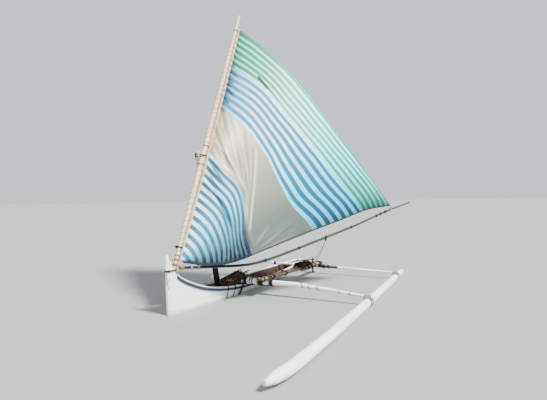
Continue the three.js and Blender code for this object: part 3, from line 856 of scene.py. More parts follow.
@dataclass(frozen=True)
class BambooFinish(Finish):
    """Dry bamboo: pale tan, darker and redder below as painted shade, streaked along, darker at the nodes."""

    def mix(self, g: Graph, effects: Effects) -> Mixed:
        """Mixes the finish.

        Args:
            g: the material's graph.
            effects: the shared node groups.

        Returns:
            Its colour and relief, and its roughness or None.
        """
        run = g.node("ShaderNodeUVMap", uv_map="run").outputs[0]
        spot = g.node("ShaderNodeTexCoord").outputs["Object"]
        grain = effects.use(g, effects.grain, Vector=spot, Scale=1.3, Cracks=0.2)
        colour = g.ramp(grain.outputs["Tone"], [(0.3, (0.16, 0.09, 0.035)), (0.62, (0.52, 0.34, 0.15))])
        patch = g.spread(g.noise(g.stretch(spot, (1.5, 8, 8)), 1.0, 4.0), 0.42, 0.62)
        colour = g.blend(g.mul(patch, 0.7), colour, (0.1, 0.045, 0.022, 1))
        # Painted shade on the faces that turn downwards.
        facing = g.split(g.node("ShaderNodeTexCoord").outputs["Normal"])[2]
        colour = g.blend(g.spread(facing, -0.35, 0.35, 0.85, 0.0), colour, (0.03, 0.014, 0.009, 1))
        ring = g.math("PINGPONG", g.split(run)[1], BambooPoles.spacing / 2)
        dark = g.spread(ring, 0.0, 0.012, 1.0, 0.0)
        colour = g.blend(g.mul(dark, 0.6), colour, srgb(80, 56, 38))
        return colour, grain.outputs["Height"], None


@dataclass(frozen=True)
class SailFinish(Finish):
    """Three-panel sailcloth. The stripe UV holds share of the stripe count, and share from luff to foot."""

    specular: float = 0.15
    sheen: float = 0.03
    relief: float = 0.25
    relief_depth: float = 0.0006
    count: float = 33.0
    low_seam: float = 12.7
    high_seam: float = 20.0
    blue_end: float = 26.5
    green_start: float = 26.9
    top_start: float = 21.0
    top_pace: float = 0.72
    fan: tuple = (1.07, 0.345)
    open_crease: Table = ((0.157, 0.8473), (0.194, 0.8367), (0.223, 0.8315), (0.25, 0.8305))
    # Ramps run from the luff (0) to the foot (1). Where a ramp's first stop is darker, that is painted shade in the
    # pleats along the luff. The cream ramp greys towards the foot as painted shade, and every ramp darkens steeply at
    # the foot.
    low_ground: tuple = ((0.0, (0.84, 0.9, 0.88)), (0.3, (0.6, 0.88, 0.94)), (0.5, (0.24, 0.74, 0.92)),
                         (0.66, (0.12, 0.4, 0.54)), (0.78, (0.085, 0.23, 0.31)), (0.88, (0.05, 0.12, 0.165)),
                         (1.0, (0.02, 0.035, 0.05)))
    low_stripe: tuple = ((0.0, (0.05, 0.13, 0.17)), (0.12, (0.015, 0.13, 0.23)), (0.25, (0.032, 0.18, 0.33)),
                         (0.45, (0.03, 0.18, 0.32)), (0.6, (0.018, 0.12, 0.21)), (0.74, (0.018, 0.09, 0.14)),
                         (0.84, (0.012, 0.035, 0.055)), (0.93, (0.004, 0.01, 0.017)), (1.0, (0.003, 0.007, 0.011)))
    blue_ground: tuple = ((0.0, (0.16, 0.36, 0.48)), (0.09, (0.3, 0.66, 0.82)), (0.22, (0.86, 0.94, 0.95)),
                          (0.5, (0.6, 0.92, 0.97)), (0.7, (0.14, 0.8, 0.98)), (0.9, (0.08, 0.62, 0.9)),
                          (1.0, (0.07, 0.28, 0.4)))
    blue_stripe: tuple = ((0.0, (0.05, 0.16, 0.27)), (0.08, (0.06, 0.24, 0.4)), (0.25, (0.03, 0.26, 0.46)),
                          (0.55, (0.01, 0.18, 0.34)), (0.72, (0.0, 0.14, 0.26)), (0.92, (0.0, 0.1, 0.18)),
                          (1.0, (0.01, 0.035, 0.06)))
    green_stripe: tuple = ((0.0, (0.01, 0.15, 0.09)), (0.15, (0.015, 0.28, 0.16)), (0.35, (0.06, 0.44, 0.29)),
                           (0.55, (0.04, 0.38, 0.27)), (0.72, (0.006, 0.24, 0.18)), (0.92, (0.01, 0.16, 0.11)),
                           (1.0, (0.01, 0.08, 0.055)))
    green_ground: tuple = ((0.0, (0.18, 0.62, 0.46)), (0.12, (0.38, 0.84, 0.7)), (0.3, (0.68, 0.93, 0.88)),
                           (0.5, (0.46, 0.94, 0.92)), (0.7, (0.14, 0.86, 0.82)), (0.9, (0.07, 0.52, 0.46)),
                           (1.0, (0.03, 0.18, 0.13)))
    cream: tuple = ((0.0, (0.58, 0.5, 0.33)), (0.07, (0.5, 0.47, 0.36)), (0.17, (0.9, 0.87, 0.72)),
                    (0.3, (0.66, 0.63, 0.5)), (0.45, (0.4, 0.41, 0.31)), (0.62, (0.25, 0.29, 0.225)),
                    (0.8, (0.14, 0.18, 0.145)), (1.0, (0.1, 0.14, 0.13)))

    def mix(self, g: Graph, effects: Effects) -> Mixed:
        """Mixes the finish.

        Args:
            g: the material's graph.
            effects: the shared node groups.

        Returns:
            Its colour and relief, and its roughness or None.
        """
        cloth_uv = g.node("ShaderNodeUVMap", uv_map="cloth").outputs[0]
        u_share, w, _ = g.split(g.node("ShaderNodeUVMap", uv_map="stripe").outputs[0])
        from_luff, from_foot, _ = g.split(g.node("ShaderNodeUVMap", uv_map="edge").outputs[0])
        wander = g.mul(g.sub(g.noise(cloth_uv, 2.2, 2.0), 0.5), 0.16)
        u = g.add(g.mul(u_share, self.count), wander)
        colour = self.stripes(g, u, w, cloth_uv)
        colour = self.marks(g, u, w, from_luff, from_foot, colour)
        weave = effects.use(g, effects.weave, Vector=cloth_uv, Threads=420.0)
        stain = effects.use(g, effects.wear, Vector=cloth_uv, Scale=2.4, Amount=0.45, Edge=0.3).outputs[0]
        colour = g.blend(g.mul(stain, 0.1), colour, (0.42, 0.38, 0.28, 1))
        thread = g.ramp(weave.outputs["Tone"], [(0.3, (0.6, 0.6, 0.6, 1)), (0.7, (1, 1, 1, 1))])
        colour = g.blend(0.22, colour, thread, "MULTIPLY")
        seams = [g.spread(g.math("ABSOLUTE", g.sub(u, seam)), 0.0, 0.08, 1.0, 0.0)
                 for seam in (self.low_seam, self.high_seam)]
        seam = g.math("MAXIMUM", seams[0], seams[1])
        colour = g.blend(g.mul(seam, 0.4), colour, (0.25, 0.27, 0.25, 1))
        height = g.add(weave.outputs["Height"], g.mul(seam, 3.0))
        between = g.mul(g.over(u, self.low_seam), g.under(u, self.high_seam))
        streak = g.mul(g.mul(self.streaks(g, cloth_uv), between), 14.0)
        height = g.add(height, streak)
        return colour, height, None

    def stripes(self, g: Graph, u: Socket, w: Socket, cloth: Socket) -> Socket:
        """Ground and stripes of the three panels.

        Args:
            g: the material's graph.
            u: stripe count from the tack.
            w: share from luff to foot.
            cloth: metres out from the yard and up along it.

        Returns:
            The colour.
        """
        first = g.sub(self.top_start, g.mul(g.sub(self.top_start, u), self.top_pace))
        warped = g.add(u, g.mul(g.over(u, self.high_seam), g.sub(g.math("MAXIMUM", u, first), u)))
        wave = g.math("COSINE", g.mul(warped, FULL_TURN))
        fleck = g.mul(g.sub(g.noise(g.stretch(cloth, (90, 90, 1)), 1.0, 2.0), 0.5), 0.5)
        wave = g.add(wave, fleck)
        low = g.under(u, self.low_seam)
        high = g.over(u, self.high_seam)
        band = g.mul(g.spread(wave, -0.42, 0.16), g.over(u, self.high_seam + 0.3))
        colour = g.blend(g.mul(band, g.under(u, self.blue_end)), g.ramp(w, self.blue_ground),
                         g.ramp(w, self.blue_stripe))
        lime = g.over(u, self.green_start)
        thin = g.spread(w, 0.05, 0.45, 0.05, -0.45)
        edge = g.sub(1.0, g.spread(wave, thin, g.add(thin, 0.8), 1.0, 0.0))
        colour = g.blend(lime, colour, g.blend(edge, g.ramp(w, self.green_stripe), g.ramp(w, self.green_ground)))
        middle = g.mul(g.sub(1.0, low), g.sub(1.0, high))
        colour = g.blend(middle, colour, self.plain(g, w, cloth))
        lower = g.blend(g.spread(wave, -0.32, 0.22), g.ramp(w, self.low_ground), g.ramp(w, self.low_stripe))
        mottle = g.spread(g.noise(g.stretch(cloth, (5, 5, 1)), 1.0, 4.0, 0.6), 0.48, 0.72)
        mottle = g.mul(mottle, g.spread(g.split(cloth)[1], 0.35, 1.1, 0.28, 0.06))
        return g.blend(low, colour, g.blend(mottle, lower, (0.14, 0.3, 0.33, 1)))

    def plain(self, g: Graph, w: Socket, cloth: Socket) -> Socket:
        """Cream middle panel, bright near the luff, with painted shade past the long pleat and along its fold fan.

        Args:
            g: the material's graph.
            w: share from luff to foot.
            cloth: metres out from the yard and up along it.

        Returns:
            The colour.
        """
        x, y, _ = g.split(cloth)
        pleat = g.sub(x, g.add(0.7, g.mul(g.sub(2.158, y), 0.17)))
        # The cream ramp greys towards the foot as painted shade.
        colour = g.ramp(w, self.cream)
        # Painted shade past the long pleat.
        colour = g.blend(g.spread(pleat, -0.02, 0.03, 0.0, 0.25), colour, (0.1, 0.125, 0.11, 1))
        # Painted shade streaks along the fan of folds, strongest left of the pleat.
        streak = g.spread(self.streaks(g, cloth), 0.4, 0.66)
        strength = g.spread(pleat, -0.25, 0.12, 0.75, 0.12)
        return g.blend(g.mul(g.sub(1.0, streak), strength), colour, (0.52, 0.5, 0.46, 1), "MULTIPLY")

    def streaks(self, g: Graph, cloth: Socket) -> Socket:
        """Noise drawn out along lines that fan from the foot of the lower seam.

        Args:
            g: the material's graph.
            cloth: metres out from the yard and up along it.

        Returns:
            The noise's value.
        """
        x, y, _ = g.split(cloth)
        dx, dy = g.sub(x, self.fan[0]), g.sub(y, self.fan[1])
        angle = g.math("ARCTAN2", dy, dx)
        reach = g.math("SQRT", g.add(g.mul(dx, dx), g.mul(dy, dy)))
        place = g.node("ShaderNodeCombineXYZ", {0: g.mul(angle, 26.0), 1: g.mul(reach, 1.1)})
        return g.noise(place.outputs[0], 1.0, 3.0, 0.62)

    def marks(self, g: Graph, u: Socket, w: Socket, from_luff: Socket, from_foot: Socket, colour: Socket) -> Socket:
        """Painted shade in the pleats at the luff, in the creases and in the open crease above the white band;
        painted highlights beside the creases, a darker band along the foot, and the luff tape.

        Args:
            g: the material's graph.
            u: stripe count from the tack.
            w: share from luff to foot.
            from_luff: metres from the luff.
            from_foot: metres from the foot.
            colour: colour under the marks.

        Returns:
            The colour with the marks.
        """
        # The shade layer holds painted shade (dark) and painted highlight (pale) at each place.
        dark, pale, _ = g.split(g.node("ShaderNodeUVMap", uv_map="shade").outputs[0])
        low = g.under(u, self.low_seam)
        # Painted highlights along the lit creases, then painted shade in the dark creases of each panel.
        colour = g.blend(g.mul(pale, 0.85), colour, g.blend(low, (0.93, 0.89, 0.72, 1), (0.8, 0.9, 0.92, 1)))
        colour = g.blend(g.mul(dark, low), colour, (0.003, 0.032, 0.085, 1))
        high = g.over(u, self.high_seam)
        deep = g.blend(g.over(u, self.green_start), (0.008, 0.04, 0.09, 1), (0.006, 0.09, 0.05, 1))
        middle = g.sub(g.sub(1.0, low), high)
        colour = g.blend(g.mul(dark, middle), colour, (0.3, 0.29, 0.26, 1), "MULTIPLY")
        colour = g.blend(g.mul(dark, high), colour, deep)
        # Painted shade in the pleats along the luff of the upper panels.
        fold = g.spread(g.math("COSINE", g.mul(g.add(u, 0.62), FULL_TURN)), 0.35, 0.95)
        near = g.mul(g.spread(from_luff, 0.03, 0.24, 1.0, 0.0), g.spread(u, 19.5, 22.0))
        colour = g.blend(g.mul(g.mul(fold, near), 0.9), colour, deep)
        shadow = g.mul(g.spread(from_luff, 0.03, 0.12, 0.55, 0.0), g.spread(u, 12.0, 13.5))
        colour = g.blend(shadow, colour, (0.42, 0.4, 0.34, 1), "MULTIPLY")
        # Painted shade in the open crease above the white band.
        line = g.ramp(w, [(stop, (share,) * 3) for stop, share in self.open_crease])
        away = g.math("ABSOLUTE", g.sub(g.math("DIVIDE", u, self.count), line))
        slit = g.mul(g.spread(away, 0.0085, 0.0125, 1.0, 0.0),
                      g.mul(g.spread(w, 0.152, 0.17), g.spread(w, 0.225, 0.245, 1.0, 0.0)))
        colour = g.blend(g.mul(slit, 0.92), colour, (0.006, 0.1, 0.06, 1))
        # Painted shade along the lower panel's edge at its seam, towards the foot.
        rolled = g.mul(g.mul(low, g.over(u, self.low_seam - 0.42)), g.spread(w, 0.7, 0.8))
        colour = g.blend(rolled, colour, (0.008, 0.035, 0.075, 1))
        # A darker band along the foot.
        wide = g.add(0.03, g.mul(low, 0.022))
        foot_darkening = g.spread(from_foot, g.mul(wide, 0.35), wide, 0.9, 0.0)
        colour = g.blend(foot_darkening, colour, g.blend(low, (0.05, 0.07, 0.065, 1), (0.008, 0.02, 0.04, 1)))
        colour = g.blend(g.mul(g.over(u, self.count - 0.22), 0.8), colour, (0.01, 0.16, 0.1, 1))
        return g.blend(g.spread(from_luff, 0.02, 0.026, 1.0, 0.0), colour, (0.62, 0.5, 0.34, 1))


@dataclass
class Stage:
    """Camera at the photograph's viewpoint, pale floor at the waterline and soft light."""

    eye: Colour = (6.871, 3.908, 1.6)
    forward: Colour = (-0.895, -0.446, 0.001)
    lens: float = 26.98
    roll: float = math.radians(0.73)
    floor_tone: Colour = (0.275, 0.28, 0.28)
    floor_reach: float = 900.0
    sensor: float = 36.0
    sight: float = 2000.0
    key_energy: float = 11.5
    key_width: float = math.radians(10)
    key_from: Colour = (0.15, 0.8, 0.95)
    sky_tone: Colour = (0.93, 0.97, 1.0)
    inset: float = 0.011
    stations: tuple = (4.64, 4.52, 4.4, 4.26, 4.1, 3.9, 3.65, 3.4, 3.1, 2.8, 2.5, 2.2, 1.9, 1.65, 1.4, 1.2, 1.0, 0.85,
                       0.7, 0.56, 0.45, 0.35, 0.29, 0.22, 0.16, 0.11)

    def camera(self) -> None:
        """Sets the camera."""
        data = bpy.data.cameras.new("photo_camera")
        data.lens, data.sensor_width, data.clip_end = self.lens, self.sensor, self.sight
        obj = place("photo_camera", data)
        ahead = Vector(self.forward).normalized()
        level = ahead.cross(Vector((0, 0, 1))).normalized()
        upright = level.cross(ahead)
        right = level * math.cos(self.roll) - upright * math.sin(self.roll)
        up = upright * math.cos(self.roll) + level * math.sin(self.roll)
        matrix = np.eye(4)
        for column, axis in enumerate((right, up, -ahead, Vector(self.eye))):
            matrix[:3, column] = axis
        obj.matrix_world = Matrix(matrix.tolist())
        bpy.context.scene.camera = obj

    def floor(self) -> None:
        """Lays the floor with an opening inside the hull's planking."""
        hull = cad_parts["hull_shell"].data
        reach = dict.fromkeys(self.stations, 0.0)
        for edge in hull.edges:
            a, b = (hull.vertices[i].co for i in edge.vertices)
            if (a.z < 0) != (b.z < 0):
                cut = a.lerp(b, a.z / (a.z - b.z))
                for s in self.stations:
                    if abs(BOW_X - s - cut.x) < 0.0005:
                        reach[s] = max(reach[s], abs(cut.y))
        sides = [(BOW_X - s, reach[s] - self.inset) for s in self.stations]
        loop = sides + [(x, -y) for x, y in reversed(sides)]
        count = len(loop)
        points = [(x, y, 0.0) for x, y in loop]
        for x, y in loop:
            angle = math.atan2(y, x)
            points.append((self.floor_reach * math.cos(angle), self.floor_reach * math.sin(angle), 0.0))
        faces = [(i, (i + 1) % count, count + (i + 1) % count, count + i) for i in range(count)]
        mesh = bpy.data.meshes.new("floor")
        mesh.from_pydata(points, [], faces)
        mesh.update()
        obj = place("floor", mesh)
        material = bpy.data.materials.new("floor_card")
        material.use_nodes = True
        shader = material.node_tree.nodes["Principled BSDF"]
        shader.inputs["Base Color"].default_value = (*self.floor_tone, 1.0)
        shader.inputs["Roughness"].default_value = 0.9
        mesh.materials.append(material)

    def lights(self) -> None:
        """Sets a soft key from the camera's upper right and an even sky."""
        key = bpy.data.lights.new("key_light", "SUN")
        key.energy, key.angle = self.key_energy, self.key_width
        obj = place("key_light", key)
        towards = Vector(self.key_from).normalized()
        obj.rotation_euler = towards.to_track_quat("Z", "Y").to_euler()
        world = bpy.data.worlds.new("studio")
        world.use_nodes = True
        sky = world.node_tree.nodes["Background"]
        sky.inputs[0].default_value, sky.inputs[1].default_value = (*self.sky_tone, 1.0), 1.0
        bpy.context.scene.world = world

    def build(self) -> None:
        """Makes camera, floor and light."""
        self.camera()
        self.floor()
        self.lights()


@dataclass
class CarriedNodes:
    """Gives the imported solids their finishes, rounds their edges and shades their curves smoothly."""

    crease: float = math.radians(34)
    weld: float = 0.00005
    edge_limit: float = math.radians(40)

    def smoothing(self) -> Tree:
        """Geometry node group that welds split corners and keeps only sharp edges sharp.

        Returns:
            The group.
        """
        tree = bpy.data.node_groups.new("smooth_by_crease", "GeometryNodeTree")
        tree.interface.new_socket("Geometry", in_out="INPUT", socket_type="NodeSocketGeometry")
        tree.interface.new_socket("Geometry", in_out="OUTPUT", socket_type="NodeSocketGeometry")
        g = Graph(tree)
        start, end = g.node("NodeGroupInput"), g.node("NodeGroupOutput")
        weld = g.node("GeometryNodeMergeByDistance", {"Geometry": start.outputs[0], "Distance": self.weld})
        faces = g.node("GeometryNodeSetShadeSmooth", {"Geometry": weld.outputs[0]}, domain="FACE")
        angle = g.node("GeometryNodeInputMeshEdgeAngle")
        sharp = g.node("FunctionNodeCompare", {0: angle.outputs[0], 1: self.crease}, operation="GREATER_THAN")
        edges = g.node("GeometryNodeSetShadeSmooth", {"Geometry": faces.outputs[0], "Selection": sharp.outputs[0],
                                                      "Shade Smooth": False}, domain="EDGE")
        tree.links.new(edges.outputs[0], end.inputs[0])
        return tree

    def build(self, work: tuple) -> None:
        """Gives nodes their finishes.

        Args:
            work: rows of a coat, the radius of rounded edges or 0, and the names of the nodes.
        """
        group = self.smoothing()
        for coat, rounding, *names in work:
            for name in names:
                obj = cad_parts[name]
                obj.data.materials.clear()
                obj.data.materials.append(coat.material)
                if "custom_normal" in obj.data.attributes:
                    obj.data.attributes.remove(obj.data.attributes["custom_normal"])
                obj.modifiers.new("smooth", "NODES").node_group = group
                if rounding:
                    bevel = obj.modifiers.new("rounded_edges", "BEVEL")
                    bevel.width, bevel.segments, bevel.limit_method = rounding, 2, "ANGLE"
                    bevel.angle_limit = self.edge_limit
                    bevel.harden_normals = False
                LOG.info("%s dressed", name)


@dataclass(frozen=True)
class Spars:
    """Where the yard, mast, boom and crossbeams run, repeated from the part's source in metres."""

    yard_heel: tuple = (0.101, 0.0, 0.585)
    yard_top: tuple = (2.03, 0.0, 5.01)
    yard_radii: Table = ((0, 0.022), (0.1, 0.034), (0.25, 0.046), (0.6, 0.044), (0.85, 0.034), (1, 0.025))
    mast_foot: tuple = (1.338, -0.028, -0.17)
    mast_top: tuple = (0.83, -0.097, 2.4)
    boom_from: tuple = (0.16, 0.062)
    boom_to: tuple = (3.78, 2.72)
    boom_heights: Table = ((0, 0.65), (0.12, 0.621), (0.24, 0.606), (0.31, 0.652), (0.384, 0.732), (0.56, 0.949),
                           (0.72, 1.153), (0.87, 1.372), (1, 1.528))
    boom_radii: Table = ((0, 0.022), (0.6, 0.021), (1, 0.014))
    beam_stations: tuple = (1.65, 3.92)
    beam_heights: tuple = (
        ((-0.42, 0.219), (0, 0.221), (0.42, 0.22), (0.86, 0.218), (1.23, 0.222), (1.58, 0.203), (1.91, 0.176),
         (2.4, 0.133), (2.52, 0.124)),
        ((-0.4, 0.17), (0, 0.168), (0.6, 0.164), (1.3, 0.152), (2.0, 0.132), (2.4, 0.124), (2.5, 0.122)))
    beam_radii: tuple = (
        ((-0.42, 0.05), (0, 0.054), (0.42, 0.052), (0.86, 0.043), (1.23, 0.038), (1.58, 0.032), (1.91, 0.027),
         (2.4, 0.021), (2.52, 0.02)),
        ((-0.4, 0.025), (0, 0.026), (0.6, 0.025), (1.3, 0.024), (2.0, 0.023), (2.4, 0.022), (2.5, 0.021)))
    float_line: tuple = ((-1.5, 2.31, 0.086), (-1.18, 2.364, 0.08), (-0.6, 2.386, 0.07), (0.35, 2.4, 0.057),
                         (1.65, 2.41, 0.046), (3.92, 2.418, 0.036), (4.74, 2.42, 0.04))
    float_radius: float = 0.065
    tack_z: float = 0.735
    clew: tuple = (3.4, 2.44, 1.476)

    def yard_share(self, z: float | np.ndarray) -> float | np.ndarray:
        """Share of the way up the yard at height z."""
        return (z - self.yard_heel[2]) / (self.yard_top[2] - self.yard_heel[2])

    def on_yard(self, z: float | np.ndarray) -> np.ndarray:
        """Middle of the yard at height z."""
        share = np.asarray(self.yard_share(z))[..., None]
        return at(*self.yard_heel) * (1 - share) + at(*self.yard_top) * share

    def yard_radius(self, z: float | np.ndarray) -> np.ndarray:
        """Radius of the yard at height z."""
        return read(self.yard_radii, self.yard_share(z))

    @property
    def yard_axis(self) -> np.ndarray:
        """Direction of the yard, upwards."""
        return unit(at(*self.yard_top) - at(*self.yard_heel))

    @property
    def out(self) -> np.ndarray:
        """Direction in which the sail leaves the yard, square to it."""
        towards = at(*self.clew) - self.on_yard(self.tack_z)
        return unit(towards - self.yard_axis * towards.dot(self.yard_axis))

    @property
    def mast_axis(self) -> np.ndarray:
        """Direction of the mast, upwards."""
        return unit(at(*self.mast_top) - at(*self.mast_foot))

    def yard_bar(self, z: float, extra: float) -> Pole:
        """The yard at height z as a bar, with its radius made larger."""
        return Pole(self.on_yard(z), self.yard_axis, float(self.yard_radius(z)) + extra)

    def boom_line(self) -> np.ndarray:
        """Follows the boom.

        Returns:
            Points along its middle.
        """
        points = []
        for share, z in self.boom_heights:
            s = self.boom_from[0] + share * (self.boom_to[0] - self.boom_from[0])
            p = self.boom_from[1] + share * (self.boom_to[1] - self.boom_from[1])
            points.append(at(s, p, z))
        return resample(spline(points, 16), 0.02)

    def boom_at(self, share: float) -> Pole:
        """The boom as a bar.

        Args:
            share: where, as a share of its length.

        Returns:
            The bar there.
        """
        line = self.boom_line()
        i = min(int(share * (len(line) - 1)), len(line) - 2)
        return Pole(line[i], unit(line[i + 1] - line[i]), float(read(self.boom_radii, share)))

    def beam(self, index: int, p: float) -> Pole:
        """A crossbeam as a bar.

        Args:
            index: 0 for the front one, 1 for the rear one.
            p: where, in metres to port.

        Returns:
            The bar there.
        """
        z, radius = (float(read(t[index], p)) for t in (self.beam_heights, self.beam_radii))
        rise = float(read(self.beam_heights[index], p + 0.05)) - float(read(self.beam_heights[index], p - 0.05))
        return Pole(at(self.beam_stations[index], p, z), np.array((0.0, 0.1, rise)), radius)

    def beam_top(self, index: int, p: float) -> float:
        """Height of a crossbeam's top at p."""
        return float(read(self.beam_heights[index], p) + read(self.beam_radii[index], p))


@dataclass(frozen=True)
class Ropes:
    """The rope finishes of the rigging."""

    dark: Coat
    grey: Coat
    tan: Coat
    thread: Coat
    green: Coat


@dataclass
class BambooPoles:
    """The two bamboo poles that lie across the beams beside the hull."""

    spars: Spars
    coat: Coat
    places: tuple = ((0.668, 0.728), (0.732, 0.792))
    names: tuple = ("side_pole_inner", "side_pole_outer")
    radius: float = 0.03
    overhang: tuple = (0.23, 0.17)
    spacing: float = 0.31
    ring_marks: tuple = (-0.014, -0.006, -0.002, 0.002, 0.006, 0.014)

    def ends(self, index: int) -> tuple[np.ndarray, np.ndarray]:
        """Where one pole starts and stops.

        Args:
            index: 0 for the inner pole, 1 for the outer.

        Returns:
            Its front end and its rear end.
        """
        a, b = (at(s, p, self.spars.beam_top(k, p) + (self.radius + 0.002))
                for k, (s, p) in enumerate(zip(self.spars.beam_stations, self.places[index])))
        along = unit(b - a)
        return a - along * self.overhang[0], b + along * self.overhang[1]

    def bar(self, index: int) -> Pole:
        """One of the poles as a bar that starts at its front end."""
        a, b = self.ends(index)
        return Pole(a, b - a, self.radius)

    def build(self) -> None:
        """Makes both poles with swollen node rings, tapered walls and cut ends."""
        for index, name in enumerate(self.names):
            a, b = self.ends(index)
            length = float(np.linalg.norm(b - a))
            marks = sorted(set(np.round(np.concatenate((
                np.linspace(0, length, 60),
                *[k * self.spacing + np.array(self.ring_marks)
                  for k in range(1, int(length / self.spacing) + 1)])), 4)))
            marks = np.array([m for m in marks if 0 <= m <= length])
            near = np.abs((marks + self.spacing / 2) % self.spacing - self.spacing / 2)
            radius = (self.radius - 0.003 * marks / length) * (
                0.965 + 0.045 * np.exp(-(near / 0.006)**2) - 0.02 * np.exp(-((near - 0.013) / 0.006)**2))
            spin = float(np.random.default_rng(31 + index).uniform(0, 1)) + 0.11 * index
            shell = Shell()
            shell.tube(a + (b - a) * (marks / length)[:, None], radius, 16, spin=np.full(len(marks), spin))
            shell.piece(f"bamboo_{name.split('_')[-1]}", Body.HULL, self.coat, name)


@dataclass
class Lashings:
    """Every rope that ties the spars together; each replaces the solid that holds its place."""

    spars: Spars
    poles: BambooPoles
    ropes: Ropes
    rope: float = 0.0045
    thick: float = 0.005
    heel_z: float = 0.625
    stock: tuple = (4.01, 0.62, 0.16)
    pole_lean: float = 28.0
    float_lean: float = 42.0

    def beams(self) -> None:
        """Turns round both beams outboard of the gunwales."""
        for index, end in enumerate(ENDS):
            for side_name, side in (("port", 1), ("starboard", -1)):
                low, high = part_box(f"beam_lashing_{end}_{side_name}")
                bar = self.spars.beam(index, float((low.y + high.y) / 2))
                shell = Shell()
                shell.band(bar, 0.052, 6.3, 0.0046, start=0.7 + side)
                shell.wind([bar.grown(0.0085)], bar.point, unit(bar.direction + (0.05, 0, 0.02)), 0.012, 1.6, 0.0042)
                shell.piece(f"rope_beam_{end}_{side_name}", Body.HULL, self.ropes.dark,
                            f"beam_lashing_{end}_{side_name}")

    def side_poles(self) -> None:
        """Crossed turns that hold the bamboo poles down on the beams."""
        for index, end in enumerate(ENDS):
            beam = self.spars.beam(index, sum(spot[index] for spot in self.poles.places) / 2)
            bars = [self.poles.bar(0), self.poles.bar(1), beam]
            shell = Shell()
            for lean in (-self.pole_lean, self.pole_lean):
                shell.wind(bars, beam.point + UP * beam.radius, heading(lean), 0.034, 4, self.rope, start=0.4)
            for side in (-1, 1):
                shell.wind([beam], beam.point + PORT * (side * 0.082), PORT, 0.026, 3.2, self.rope)
            shell.piece(f"rope_poles_{end}", Body.HULL, self.ropes.dark, f"pole_lashing_{end}")

    def float_ties(self) -> None:
        """Crossed turns over beam and float, and turns round the float on each side of the beam."""
        rows = self.spars.float_line
        line = np.array([at(*row) for row in rows])
        for index, end in enumerate(ENDS):
            s = self.spars.beam_stations[index]
            p, z = (float(read(tuple((row[0], row[k]) for row in rows), s)) for k in (1, 2))
            centre = at(s, p, z)
            direction = unit(line[5] - line[4 if index else 3])
            floater = Pole(centre, direction, self.spars.float_radius)
            beam = self.spars.beam(index, p)
            shell = Shell()
            for lean in (-self.float_lean, self.float_lean):
                shell.wind([floater, beam], centre + UP * 0.05, heading(lean), 0.04, 4, self.thick)
            for side in (-1, 1):
                shell.wind([floater], centre + direction * side * 0.047, direction, 0.02, 2.4, self.thick, start=2.0)
                shell.wind([beam], beam.point + PORT * (side * 0.04), PORT, 0.02, 2.4, self.thick)
            shell.piece(f"rope_float_{end}", Body.HULL, self.ropes.grey, f"float_lashing_{end}")

    def mast_head(self) -> None:
        """Crossed turns round the mast's head and the yard."""
        axes = self.spars.mast_axis, self.spars.yard_axis
        tie = at(*self.spars.mast_foot) * 0.028 + at(*self.spars.mast_top) * 0.972
        heel = self.spars.on_yard(self.spars.yard_heel[2])
        yard_tie = heel + axes[1] * (tie - heel).dot(axes[1])
        bars = [Pole(tie, axes[0], 0.044), Pole(yard_tie, axes[1], float(self.spars.yard_radius(yard_tie[2])) + 0.001)]
        shell = Shell()
        for normal in axes:
            shell.wind(bars, (tie + yard_tie) / 2, normal, 0.02, 2.6, 0.0035, start=1.0)
        shell.piece("rope_mast_head", Body.HULL, self.ropes.dark, "mast_lashing")

    def yard_heel(self) -> None:
        """Turns round the stem and the yard's heel."""
        z = self.heel_z
        bars = [Pole(self.spars.on_yard(z), UP, float(self.spars.yard_radius(z)) + 0.002)]
        bars += [Pole(at(s, p, z), UP, radius) for s, p, radius in (
            (-0.043, 0.01, 0.008), (-0.043, -0.01, 0.008), (0.03, 0.0, 0.04), (0.06, 0.0, 0.042))]
        shell = Shell()
        shell.wind(bars, at(0.05, 0, z), UP, 0.021, 3.2, self.thick)
        shell.wind(bars, at(0.05, 0, z), UP + (0.06, 0, 0), 0.014, 1.5, 0.0125, 0.004)
        shell.piece("rope_yard_heel", Body.HULL, self.ropes.dark, "yard_heel_lashing")

    def rudder(self) -> None:
        """Crossed turns round the rear beam and the rudder's stock."""
        beam = self.spars.beam(1, self.stock[1])
        stock = Pole(at(*self.stock), UP, 0.0205)
        shell = Shell()
        for lean in (-1, 1):
            shell.wind([beam, stock], (beam.point + stock.point) / 2, PORT + UP * (lean * 0.9), 0.03, 4, 0.004)
        shell.piece("rope_rudder", Body.HULL, self.ropes.dark, "rudder_lashing")

    def jaw(self) -> None:
        """Rope grommet that turns round the yard and holds the boom's foot."""
        centre = self.spars.on_yard(0.69)
        yard = Pole(centre, self.spars.yard_axis, float(self.spars.yard_radius(0.712)) + 0.0012)
        shell = Shell()
        shell.band(yard, 0.034, 4, 0.0048)
        shell.band(yard, 0.024, 3, 0.0125, self.rope)
        boom = self.spars.boom_at(0.012)
        shell.band(boom, 0.052, 6, self.rope)
        side = centre + unit(boom.point - self.spars.on_yard(float(boom.point[2]))) * (yard.radius + 0.01)
        link = side - boom.point
        span = float(np.linalg.norm(link))
        shell.wind([Pole(boom.point, link, 0.007)], (boom.point + side) / 2, link, span, max(span / 0.009, 4),
                   self.rope)
        shell.piece("rope_boom_jaw", Body.BOOM, self.ropes.tan, "boom_jaw")

